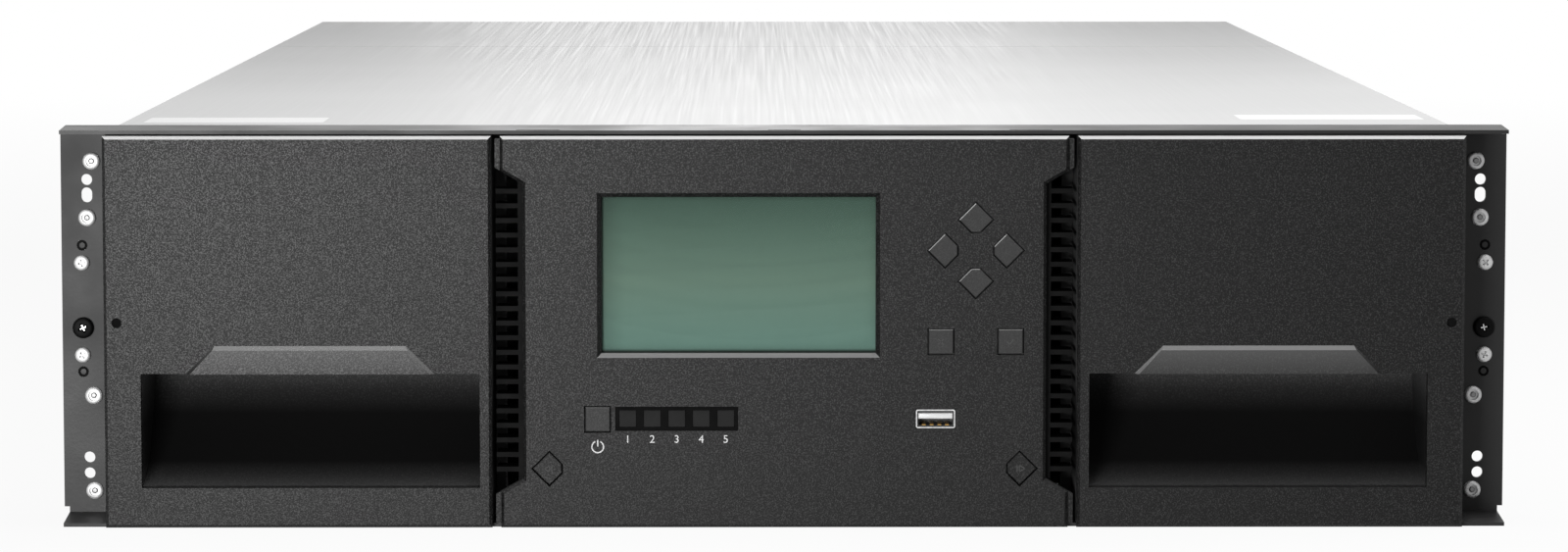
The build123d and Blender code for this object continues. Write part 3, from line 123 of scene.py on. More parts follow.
class NodeSheet:
    """Shader nodes of one material, wired to a Principled shader."""

    def __init__(self, name: str) -> None:
        """Start an empty sheet.

        Args:
            name: Name of the material.
        """
        self.material = bpy.data.materials.new(name)
        self.material.use_nodes = True
        self.tree = self.material.node_tree
        self.nodes = self.tree.nodes
        self.links = self.tree.links
        self.nodes.clear()
        self.output = self.nodes.new("ShaderNodeOutputMaterial")
        self.shader = self.nodes.new("ShaderNodeBsdfPrincipled")
        self.links.new(self.shader.outputs["BSDF"], self.output.inputs["Surface"])
        self.place = self.nodes.new("ShaderNodeTexCoord").outputs["Object"]

    def set(self, values: Dict[str, object]) -> None:
        """Set constant sockets of the shader."""
        for name, value in values.items():
            self.shader.inputs[name].default_value = value

    def wire(self, source: Socket, name: str) -> None:
        """Wire a socket into the shader."""
        self.links.new(source, self.shader.inputs[name])

    def stretched(self, stretch: Point) -> Socket:
        """Return the object coordinates scaled along each axis.

        Args:
            stretch: Scale along X, Y and Z.

        Returns:
            The scaled coordinates.
        """
        mapping = self.nodes.new("ShaderNodeMapping")
        mapping.inputs["Scale"].default_value = stretch
        self.links.new(self.place, mapping.inputs["Vector"])
        return mapping.outputs["Vector"]

    def noise(self, scale: float, detail: float, stretch: Point = (1.0, 1.0, 1.0)) -> Socket:
        """Return a noise value on the object coordinates.

        Args:
            scale: Repeats per metre.
            detail: Octaves of finer noise.
            stretch: Scale along each axis before the noise.

        Returns:
            Noise from 0 to 1.
        """
        noise = self.nodes.new("ShaderNodeTexNoise")
        noise.inputs["Scale"].default_value = scale
        noise.inputs["Detail"].default_value = detail
        self.links.new(self.stretched(stretch), noise.inputs["Vector"])
        return noise.outputs["Fac"]

    def cells(self, scale: float, stretch: Point) -> Socket:
        """Return one random grey per cell of a cellular pattern.

        Args:
            scale: Cells per metre.
            stretch: Scale along each axis before the pattern.

        Returns:
            Colour of the cell.
        """
        cells = self.nodes.new("ShaderNodeTexVoronoi")
        cells.inputs["Scale"].default_value = scale
        self.links.new(self.stretched(stretch), cells.inputs["Vector"])
        return cells.outputs["Color"]

    def along(self, axis: str) -> Socket:
        """Return one of the object coordinates.

        Args:
            axis: X, Y or Z.

        Returns:
            The coordinate in metres.
        """
        split = self.nodes.new("ShaderNodeSeparateXYZ")
        self.links.new(self.place, split.inputs["Vector"])
        return split.outputs[axis]

    def span(self, source: Socket, start: Span, end: Span = UNIT) -> Socket:
        """Return a value mapped from one range to another, clamped.

        Args:
            source: Value to map.
            start: Low and high of the value.
            end: Low and high of the result.

        Returns:
            The mapped value.
        """
        span = self.nodes.new("ShaderNodeMapRange")
        self.links.new(source, span.inputs["Value"])
        for name, value in zip(("From Min", "From Max", "To Min", "To Max"), start + end):
            span.inputs[name].default_value = value
        return span.outputs["Result"]

    def ramp(self, source: Socket, stops: Sequence[Tuple[float, Colour]]) -> Socket:
        """Return colours along a ramp.

        Args:
            source: Place along the ramp.
            stops: Place and colour of each stop.

        Returns:
            The colour.
        """
        ramp = self.nodes.new("ShaderNodeValToRGB")
        elements = ramp.color_ramp.elements
        while len(elements) < len(stops):
            elements.new(0.5)
        for element, (place, colour) in zip(elements, stops):
            element.position = place
            element.color = (*colour, 1.0)
        self.links.new(source, ramp.inputs["Fac"])
        return ramp.outputs["Color"]

    def shaded(self, source: Socket, start: Span, colour: Colour, share: float) -> Socket:
        """Return a colour that goes from a share of itself to its full strength."""
        dim = tuple(share * channel for channel in colour)
        return self.ramp(source, tuple(zip(start, (dim, colour))))

    def mixed(self, first: Socket, second: Value, share: Value, blend: str = "MIX") -> Socket:
        """Return a colour that goes over to another by a share.

        Args:
            first: Colour where the share is 0.
            second: Colour that is blended in.
            share: How far it is blended in.
            blend: How it is blended in.

        Returns:
            The mixed colour.
        """
        mix = self.nodes.new("ShaderNodeMix")
        mix.data_type = "RGBA"
        mix.blend_type = blend
        for index, value in ((0, share), (6, first), (7, second)):
            if isinstance(value, Socket):
                self.links.new(value, mix.inputs[index])
            else:
                mix.inputs[index].default_value = (*value, 1.0) if isinstance(value, tuple) else value
        return mix.outputs[2]

    def tinted(self, first: Socket, second: Socket, share: Value = 1.0) -> Socket:
        """Return one colour multiplied by another."""
        return self.mixed(first, second, share, "MULTIPLY")

    def times(self, *values: Socket) -> Socket:
        """Return the product of values."""
        return folded(self.tree, "MULTIPLY", values)

    def larger(self, *values: Socket) -> Socket:
        """Return the largest of values."""
        return folded(self.tree, "MAXIMUM", values)

    def facing(self, direction: Point) -> Socket:
        """Return how far a face points in a direction.

        Args:
            direction: Direction of length 1.

        Returns:
            Cosine of the angle between the two.
        """
        normal = self.nodes.new("ShaderNodeNewGeometry").outputs["True Normal"]
        facing = self.nodes.new("ShaderNodeVectorMath")
        facing.operation = "DOT_PRODUCT"
        facing.inputs[1].default_value = direction
        self.links.new(normal, facing.inputs[0])
        return facing.outputs["Value"]

    def relief(self, source: Socket, depth: float, strength: float) -> None:
        """Wire a bump into the shader's normal.

        Args:
            source: Height of the relief.
            depth: Depth of the relief in metres.
            strength: Share of the relief that shows.
        """
        bump = self.nodes.new("ShaderNodeBump")
        bump.inputs["Strength"].default_value = strength
        bump.inputs["Distance"].default_value = depth
        self.links.new(source, bump.inputs["Height"])
        self.wire(bump.outputs["Normal"], "Normal")


def grey(value: float) -> Colour:
    """Return a neutral colour."""
    return (value, value, value)


@dataclass(frozen=True)
class Finish:
    """Finish of a surface; each kind makes its own material."""

    name: str

    def build(self) -> bpy.types.Material:
        """Return the material of this finish."""
        raise NotImplementedError


@dataclass(frozen=True)
class GrainedPlastic(Finish):
    """Moulded plastic with a fine spark-eroded grain that glints, with painted shade in its hand pocket and
    painted highlights on chamfers and leaning faces.
    """

    dark: Colour = grey(0.0)
    light: Colour = grey(0.034)
    # Flat tone that the grain is calmed towards inside the hand pocket, under the painted shade.
    even: Colour = grey(0.0105)
    # Colour of the painted highlight on the upper chamfers.
    edge: Colour = grey(0.45)
    # Colour of the painted highlight on front faces that lean back a little.
    lean_highlight: Colour = grey(0.072)
    # Painted shade and light in the hand pocket: grey multipliers up its height, dark in the middle and
    # lighter at the foot and top.
    pocket_painted_shade: Tuple[Span, ...] = (
        (0.0, 5.0), (0.09, 2.0), (0.17, 0.08), (0.55, 0.03), (0.75, 1.7), (0.95, 5.4),
    )
    pocket_rise: Span = (0.0134, 0.0509)
    pocket_mouth: Span = (BEZEL_FRONT + 0.002, BEZEL_FRONT + 0.004)
    skin: Span = (BEZEL_FRONT + 0.002, BEZEL_FRONT + 0.003)
    chamfer: Point = (0.2, -0.693, 0.693)
    chamfer_foot: Span = (0.035, 0.045)
    chamfer_rise: Span = (0.062, 0.12)
    thumb_rise: Span = (0.05, 0.0592)
    grain: float = 0.00045
    depth: float = 0.00005
    gloss: Span = (0.48, 0.34)
    dull: float = 0.85
    shine: float = 0.15

    def build(self) -> bpy.types.Material:
        """Return the material: speckled tone, painted shade and light in the dull hollow behind the skin,
        painted highlights, uneven gloss and relief.
        """
        sheet = NodeSheet(self.name)
        grain = sheet.noise(1 / self.grain, 3.0)
        tone = sheet.ramp(grain, ((0.49, self.dark), (0.68, self.light)))
        body = sheet.tinted(tone, sheet.shaded(sheet.noise(9.0, 1.0), NOISE_SPAN, grey(1.0), 0.86))
        # Painted shade in the hand pocket: behind the front skin, the tone is multiplied by the ramp over
        # height.
        rise = sheet.span(sheet.along("Z"), self.pocket_rise)
        depth = sheet.ramp(rise, [(place, grey(value)) for place, value in self.pocket_painted_shade])
        inside = sheet.span(sheet.along("Y"), self.pocket_mouth)
        calm = sheet.mixed(body, self.even, sheet.span(inside, UNIT, (0.0, 0.7)))
        # Painted highlight: front faces that lean back go over to a lighter grey.
        highlighted = sheet.mixed(sheet.tinted(calm, depth, inside), self.lean_highlight, self.painted_lean_highlight(sheet))
        # Painted highlight: chamfers that face forwards, up and inwards go over to a pale grey.
        sheet.wire(sheet.mixed(highlighted, self.edge, self.painted_edge_highlight(sheet)), "Base Color")
        hollow = sheet.span(inside, UNIT, (0.0, self.dull))
        sheet.wire(sheet.larger(sheet.span(grain, (0.4, 0.6), self.gloss), hollow), "Roughness")
        sheet.set({"Specular IOR Level": self.shine})
        sheet.relief(grain, self.depth, 0.8)
        return sheet.material

    def front_skin(self, sheet: NodeSheet) -> Socket:
        """Return 1 on the front skin and 0 from 3 mm behind it; the painted highlights keep to the front
        skin.
        """
        return sheet.span(sheet.along("Y"), self.skin, (1.0, 0.0))

    def painted_edge_highlight(self, sheet: NodeSheet) -> Socket:
        """Return the share of painted highlight on chamfers that point forwards, up and inwards, strongest
        along the top.

        Args:
            sheet: Sheet of the material.

        Returns:
            The share of painted highlight.
        """
        x, y, z = self.chamfer
        on_left = sheet.span(sheet.along("X"), (0.0, 0.001), (1.0, 0.0))
        on_right = sheet.span(sheet.along("X"), (-0.001, 0.0))
        left = sheet.times(sheet.facing((x, y, z)), on_left)
        right = sheet.times(sheet.facing((-x, y, z)), on_right)
        edge = sheet.span(sheet.larger(left, right), (0.75, 0.9))
        height = sheet.span(sheet.along("Z"), self.chamfer_rise, (0.28, 1.0))
        above = sheet.span(sheet.along("Z"), self.chamfer_foot)
        return sheet.times(edge, height, above, self.front_skin(sheet))

    def painted_lean_highlight(self, sheet: NodeSheet) -> Socket:
        """Return the share of painted highlight on front faces that lean back a little, strongest at their
        top.

        Args:
            sheet: Sheet of the material.

        Returns:
            The share of painted highlight.
        """
        lean = sheet.span(sheet.facing((0.0, 0.0, 1.0)), (0.05, 0.09))
        height = sheet.span(sheet.along("Z"), self.thumb_rise, (0.15, 0.75))
        return sheet.times(lean, height, self.front_skin(sheet))


@dataclass(frozen=True)
class MouldedPlastic(Finish):
    """Plain moulded plastic with a faint mottle."""

    colour: Colour
    gloss: float
    shine: float = 0.5

    def build(self) -> bpy.types.Material:
        """Return the material: slight tone and gloss changes, and a fine skin."""
        sheet = NodeSheet(self.name)
        mottle = sheet.noise(160.0, 4.0)
        sheet.wire(sheet.shaded(mottle, NOISE_SPAN, self.colour, 0.82), "Base Color")
        sheet.wire(sheet.span(mottle, NOISE_SPAN, (self.gloss - 0.05, self.gloss + 0.08)), "Roughness")
        sheet.set({"Specular IOR Level": self.shine})
        sheet.relief(sheet.noise(2600.0, 2.0), 0.00002, 0.5)
        return sheet.material


@dataclass(frozen=True)
class PowderCoat(Finish):
    """Painted or powder-coated steel with a slight orange peel."""

    colour: Colour
    gloss: float
    shine: float = 0.5

    def build(self) -> bpy.types.Material:
        """Return the material: even paint, soft peel and uneven gloss."""
        sheet = NodeSheet(self.name)
        worn = tuple(1.35 * channel for channel in self.colour)
        cloud = sheet.noise(26.0, 5.0)
        sheet.wire(sheet.ramp(cloud, ((0.35, self.colour), (0.75, worn))), "Base Color")
        sheet.wire(sheet.span(cloud, NOISE_SPAN, (self.gloss - 0.05, self.gloss + 0.09)), "Roughness")
        sheet.set({"Specular IOR Level": self.shine})
        sheet.relief(sheet.noise(1150.0, 2.0), 0.00003, 0.6)
        return sheet.material


@dataclass(frozen=True)
class RolledSheet(Finish):
    """Bright sheet metal with faint rolling lines along one axis."""

    colour: Colour
    gloss: Span
    lines: Point = (900.0, 4.0, 900.0)
    metal: float = 1.0

    def build(self) -> bpy.types.Material:
        """Return the material: metal with stretched streaks in tone and gloss."""
        sheet = NodeSheet(self.name)
        streaks = sheet.noise(1.0, 3.0, self.lines)
        cloud = sheet.shaded(sheet.noise(7.0, 4.0), NOISE_SPAN, grey(1.0), 0.94)
        sheet.wire(sheet.tinted(sheet.shaded(streaks, NOISE_SPAN, self.colour, 0.95), cloud), "Base Color")
        sheet.wire(sheet.span(streaks, NOISE_SPAN, self.gloss), "Roughness")
        sheet.set({"Metallic": self.metal})
        sheet.relief(streaks, 0.000004, 0.5)
        return sheet.material


@dataclass(frozen=True)
class ZincSheet(Finish):
    """Zinc-plated sheet with a soft spangle."""

    colour: Colour
    spangle: float = 150.0
    gloss: Span = (0.34, 0.46)

    def build(self) -> bpy.types.Material:
        """Return the material: metal with crystal patches in tone and gloss."""
        sheet = NodeSheet(self.name)
        crystals = sheet.cells(self.spangle, (1.0, 0.7, 1.0))
        cloud = sheet.shaded(sheet.noise(14.0, 5.0), NOISE_SPAN, grey(1.0), 0.9)
        sheet.wire(sheet.tinted(sheet.shaded(crystals, UNIT, self.colour, 0.88), cloud), "Base Color")
        sheet.wire(sheet.span(crystals, UNIT, self.gloss), "Roughness")
        sheet.set({"Metallic": 1.0})
        sheet.relief(sheet.noise(1800.0, 2.0), 0.000006, 0.4)
        return sheet.material


@dataclass(frozen=True)
class BrightMetal(Finish):
    """Plated or turned metal with fine tool marks."""

    colour: Colour
    gloss: Span
    metal: float = 1.0

    def build(self) -> bpy.types.Material:
        """Return the material: bright metal with uneven gloss."""
        sheet = NodeSheet(self.name)
        marks = sheet.noise(900.0, 4.0)
        sheet.wire(sheet.shaded(marks, (0.3, 0.65), self.colour, 0.85), "Base Color")
        sheet.wire(sheet.span(marks, NOISE_SPAN, self.gloss), "Roughness")
        sheet.set({"Metallic": self.metal})
        sheet.relief(marks, 0.000008, 0.4)
        return sheet.material


@dataclass(frozen=True)
class DisplayGlass(Finish):
    """Unlit display: a green-grey field that lightens towards its foot, with painted shadow along its rims.
    """

    top: Colour = (0.0455, 0.089, 0.067)
    middle: Colour = (0.118, 0.19, 0.147)
    foot: Colour = (0.12, 0.222, 0.186)
    rise: Span = (0.056, 0.11)
    across: Span = (-0.0611, 0.0311)
    # Painted shadow of the window's frame: grey multipliers across the field, darkest at the left rim and
    # dimmer at the right.
    sides: Tuple[Span, ...] = ((0.0, 0.03), (0.012, 0.06), (0.022, 0.75), (0.1, 1.0), (0.98, 1.0), (1.0, 0.5))
    # Painted shadow along the foot and top rims, as multipliers up the field.
    ends: Tuple[Span, ...] = (
        (0.0, 0.015), (0.034, 0.03), (0.05, 0.9), (0.08, 1.0), (0.94, 1.0), (0.985, 0.55), (1.0, 0.25),
    )

    def build(self) -> bpy.types.Material:
        """Return the material: graded field with painted shadow along its rims."""
        sheet = NodeSheet(self.name)
        rise = sheet.span(sheet.along("Z"), self.rise)
        across = sheet.span(sheet.along("X"), self.across)
        field = sheet.ramp(rise, ((0.0, self.foot), (0.45, self.middle), (1.0, self.top)))
        # Multiply in the painted shadow along the rims.
        for source, stops in ((across, self.sides), (rise, self.ends)):
            field = sheet.tinted(field, sheet.ramp(source, [(place, grey(value)) for place, value in stops]))
        sheet.wire(field, "Base Color")
        sheet.set({"Roughness": 0.6, "Specular IOR Level": 0.1})
        return sheet.material


@dataclass(frozen=True)
class ClearWindow(Finish):
    """Thin clear window in front of the display."""

    tint: Colour = (0.09, 0.15, 0.118)
    cover: float = 0.08

    def build(self) -> bpy.types.Material:
        """Return the material: mostly see-through, with an anti-glare skin."""
        sheet = NodeSheet(self.name)
        sheet.wire(sheet.shaded(sheet.noise(2400.0, 1.0), NOISE_SPAN, self.tint, 0.8), "Base Color")
        sheet.set({"Alpha": self.cover, "Roughness": 0.4, "Specular IOR Level": 0.15})
        return sheet.material


@dataclass(frozen=True)
class SolderMask(Finish):
    """Green circuit board with copper runs under the mask."""

    mask: Colour = (0.012, 0.085, 0.04)
    copper: Colour = (0.05, 0.16, 0.07)

    def build(self) -> bpy.types.Material:
        """Return the material: tracks and pads that show through the mask."""
        sheet = NodeSheet(self.name)
        tracks = sheet.cells(1.0, (260.0, 260.0, 900.0))
        sheet.wire(sheet.ramp(tracks, ((0.55, self.mask), (0.6, self.copper))), "Base Color")
        sheet.set({"Roughness": 0.34})
        sheet.relief(tracks, 0.00003, 0.6)
        return sheet.material


@dataclass(frozen=True)
class PrintedInk(Finish):
    """Screen-printed ink."""

    colour: Colour = grey(0.62)

    def build(self) -> bpy.types.Material:
        """Return the material: ink that is a little uneven."""
        sheet = NodeSheet(self.name)
        sheet.wire(sheet.shaded(sheet.noise(2400.0, 2.0), (0.3, 0.6), self.colour, 0.82), "Base Color")
        sheet.set({"Roughness": 0.5})
        return sheet.material


FINISHES: Dict[str, Finish] = {
    "black_steel": PowderCoat("satin_black_steel", grey(0.01), 0.38, 0.2),
    "zinc_steel": ZincSheet("zinc_sheet", grey(0.5)),
    "cover_steel": RolledSheet("silver_cover", grey(0.52), (0.44, 0.56), metal=0.1),
    "bright_screw": BrightMetal("plated_screw", grey(0.62), (0.42, 0.56), 0.5),
    "rivet_metal": BrightMetal("rivet", grey(0.62), (0.42, 0.56), 0.5),
    "bezel_plastic": GrainedPlastic("charcoal_grain"),
    "button_plastic": GrainedPlastic(
        "charcoal_button", grey(0.022), grey(0.042), grain=0.0003, depth=0.00003, gloss=(0.5, 0.4)
    ),
    "window_clear": ClearWindow("clear_window"),
    "display_green": DisplayGlass("unlit_display"),
    "circuit_board": SolderMask("circuit_board"),
    "strip_black": MouldedPlastic("light_strip", grey(0.0015), 0.5, 0.03),
    "lens_smoke": MouldedPlastic("smoked_lens", grey(0.01), 0.5, 0.08),
    "port_metal": BrightMetal("port_sleeve", grey(0.62), (0.12, 0.22)),
    "vent_black": MouldedPlastic("vent_plastic", grey(0.003), 0.6, 0.06),
    "guide_plastic": MouldedPlastic("white_guide", grey(0.7), 0.4),
    "bright_shaft": BrightMetal("ground_shaft", grey(0.75), (0.14, 0.24)),
    "robot_metal": RolledSheet("robot_plate", grey(0.68), (0.32, 0.45), (14.0, 900.0, 900.0)),
    "robot_plastic": MouldedPlastic("robot_plastic", grey(0.03), 0.5),
    "motor_black": PowderCoat("motor_can", grey(0.025), 0.32),
    "drive_metal": RolledSheet("drive_body", grey(0.34), (0.5, 0.64), (900.0, 20.0, 900.0)),
    "module_metal": ZincSheet("module_plate", grey(0.34), 190.0, (0.48, 0.62)),
    "socket_black": MouldedPlastic("socket", grey(0.012), 0.36, 0.3),
    "fan_black": MouldedPlastic("fan_blade", grey(0.015), 0.42),
    "rack_screw_black": MouldedPlastic("black_screw", grey(0.003), 0.5, 0.05),
    "divider_plastic": MouldedPlastic("divider", grey(0.1), 0.5),
}
INK = PrintedInk("legend_ink")
SIGN = MouldedPlastic("button_sign", grey(0.06), 0.5, 0.12)
MANDREL = BrightMetal("rivet_mandrel", grey(0.16), (0.3, 0.45))
# Bright metal in the rack screws' recesses: a painted glint in the cross.
RECESS_GLINT = BrightMetal("recess_glint", grey(0.6), (0.2, 0.35))
PLUG = MouldedPlastic("release_plug", grey(0.004), 0.7, 0.05)
TONGUE = MouldedPlastic("white_tongue", grey(0.72), 0.4)
GOLD = BrightMetal("gilt_contact", (0.62, 0.36, 0.1), (0.2, 0.34))
PAD = PrintedInk("plain_pad", grey(0.74))
GREEN_LIGHT = MouldedPlastic("green_light", (0.02, 0.2, 0.05), 0.25)
AMBER_LIGHT = MouldedPlastic("amber_light", (0.35, 0.13, 0.01), 0.25)
NODE_FINISHES: Dict[str, Finish] = {
    f"{side}_magazine_button": FINISHES["bezel_plastic"] for side in ("left", "right")
}


class Bench:
    """Modelling bench: primitives, picks and operators, as by hand."""

    def __init__(self) -> None:
        """Keep each finish's material once it is made."""
        self.materials: Dict[str, bpy.types.Material] = {}

    def material(self, finish: Finish) -> bpy.types.Material:
        """Return a finish's material, made the first time it is asked for.

        Args:
            finish: Finish to look up.

        Returns:
            Its material.
        """
        if finish.name not in self.materials:
            self.materials[finish.name] = finish.build()
        return self.materials[finish.name]

    def clear(self) -> None:
        """Leave edit mode and deselect everything."""
        if bpy.context.object and bpy.context.object.mode != "OBJECT":
            bpy.ops.object.mode_set(mode="OBJECT")
        bpy.ops.object.select_all(action="DESELECT")

    def only(self, thing: Thing) -> None:
        """Select one object alone and make it active.

        Args:
            thing: Object to select.
        """
        self.clear()
        thing.select_set(True)
        bpy.context.view_layer.objects.active = thing

    def cylinder(self, radius: float, height: float, sides: int = 32) -> Thing:
        """Add an upright cylinder that stands on the origin.

        Args:
            radius: Radius.
            height: Height.
            sides: Sides of the round.

        Returns:
            The new object.
        """
        self.clear()
        bpy.ops.mesh.primitive_cylinder_add(
            vertices=sides, radius=radius, depth=height, location=(0.0, 0.0, height / 2)
        )
        return self.applied(bpy.context.object)

    def cuboid(self, size: Point, place: Point) -> Thing:
        """Add a box.

        Args:
            size: Size along each axis.
            place: Centre of the box.

        Returns:
            The new object.
        """
        self.clear()
        bpy.ops.mesh.primitive_cube_add(size=1.0, location=place)
        bpy.context.object.scale = size
        return self.applied(bpy.context.object)

    def applied(self, thing: Thing) -> Thing:
        """Apply an object's place, turn and scale to its mesh.

        Args:
            thing: Object to apply.

        Returns:
            The same object.
        """
        self.only(thing)
        bpy.ops.object.transform_apply(location=True, rotation=True, scale=True)
        return thing

    def pick(self, thing: Thing, kind: Pick, test: Callable[[Vector, Vector], bool]) -> None:
        """Go into edit mode with the elements selected that pass a test.

        Args:
            thing: Object to edit.
            kind: Kind of element.
            test: Takes an element's centre and its normal or direction.
        """
        self.only(thing)
        bpy.ops.object.mode_set(mode="EDIT")
        bpy.ops.mesh.select_mode(type=kind.value)
        bpy.ops.mesh.select_all(action="DESELECT")
        bpy.ops.object.mode_set(mode="OBJECT")
        mesh = thing.data
        if kind is Pick.FACE:
            for face in mesh.polygons:
                face.select = test(face.center, face.normal)
        elif kind is Pick.EDGE:
            for edge in mesh.edges:
                start, end = (mesh.vertices[index].co for index in edge.vertices)
                edge.select = test((start + end) / 2, (end - start).normalized())
        else:
            for vertex in mesh.vertices:
                vertex.select = test(vertex.co, vertex.normal)
        bpy.ops.object.mode_set(mode="EDIT")

    def done(self) -> None:
        """Go back to object mode."""
        bpy.ops.object.mode_set(mode="OBJECT")

    def extruded(self, move: Point) -> None:
        """Extrude the selected faces."""
        bpy.ops.mesh.extrude_region_move(TRANSFORM_OT_translate={"value": move})

    def sunk(self, thing: Thing, rim: float, depth: float) -> None:
        """Sink the flat top of a piece inside a rim.

        Args:
            thing: Piece to edit.
            rim: Width of the rim.
            depth: How far the top goes down.
        """
        self.pick(thing, Pick.FACE, lambda at, normal: normal.z > FLAT)
        bpy.ops.mesh.inset(thickness=rim)
        self.extruded((0.0, 0.0, -depth))
        self.done()

    def slip(self, size: Point, place: Point, corner: float, segments: int) -> Thing:
        """Add a flat box with rounded upright edges.

        Args:
            size: Size along each axis.
            place: Centre of the box.
            corner: Radius of the edges.
            segments: Segments of each round.

        Returns:
            The new object.
        """
        slip = self.cuboid(size, place)
        self.pick(slip, Pick.EDGE, lambda at, along: abs(along.z) > ALONG)
        bpy.ops.mesh.bevel(offset=corner, segments=segments)
        self.done()
        return slip

    def cut(self, thing: Thing, cutter: Thing) -> None:
        """Cut one object out of another, and delete the cutter.

        Args:
            thing: Object that is cut.
            cutter: Object that cuts it.
        """
        self.only(thing)
        modifier = thing.modifiers.new("cut", "BOOLEAN")
        modifier.operation = "DIFFERENCE"
        modifier.solver = "EXACT"
        modifier.object = cutter
        bpy.ops.object.modifier_apply(modifier=modifier.name)
        bpy.data.objects.remove(cutter)

    def placed(self, thing: Thing, facing: Facing, place: Point, roll: float = 0.0) -> Thing:
        """Copy an object that is modelled along +Z, turn it and set it in its place.

        Args:
            thing: Object to copy.
            facing: Direction that its +Z takes.
            place: Where its origin goes.
            roll: Turn about its own axis first.

        Returns:
            The copy, with its own mesh.
        """
        copy = thing.copy()
        copy.data = thing.data.copy()
        bpy.context.scene.collection.objects.link(copy)
        copy.rotation_euler = (0.0, 0.0, roll)
        self.applied(copy)
        copy.rotation_euler = facing.value
        copy.location = place
        return self.applied(copy)

    def joined(self, things: Sequence[Thing]) -> Thing:
        """Join objects into the first one.

        Args:
            things: Objects to join.

        Returns:
            The joined object.
        """
        self.clear()
        for thing in things:
            thing.select_set(True)
        bpy.context.view_layer.objects.active = things[0]
        bpy.ops.object.join()
        return things[0]

    def dressed(
        self, thing: Thing, name: str, body: str, slot: str, finish: Optional[Finish] = None
    ) -> Thing:
        """Name a finished piece, shade it, and set its finish, body and slot.

        Args:
            thing: Finished piece.
            name: Name of the piece.
            body: CAD body that it rides on.
            slot: Material slot of the record.
            finish: Finish of its surface, or None for the slot's own.

        Returns:
            The same piece.
        """
        self.only(thing)
        thing.name = name
        thing.data.name = name
        bpy.ops.object.shade_smooth_by_angle(angle=SHARP_ANGLE)
        thing.data.materials.clear()
        thing.data.materials.append(self.material(finish or FINISHES[slot]))
        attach(thing, body)
        LOG.info("piece %s rides on %s", name, body)
        return thing


@dataclass
class Assembly:
    """Group of pieces that are modelled on one bench."""

    bench: Bench

    def build(self) -> None:
        """Model the pieces and set them in their places."""
        raise NotImplementedError


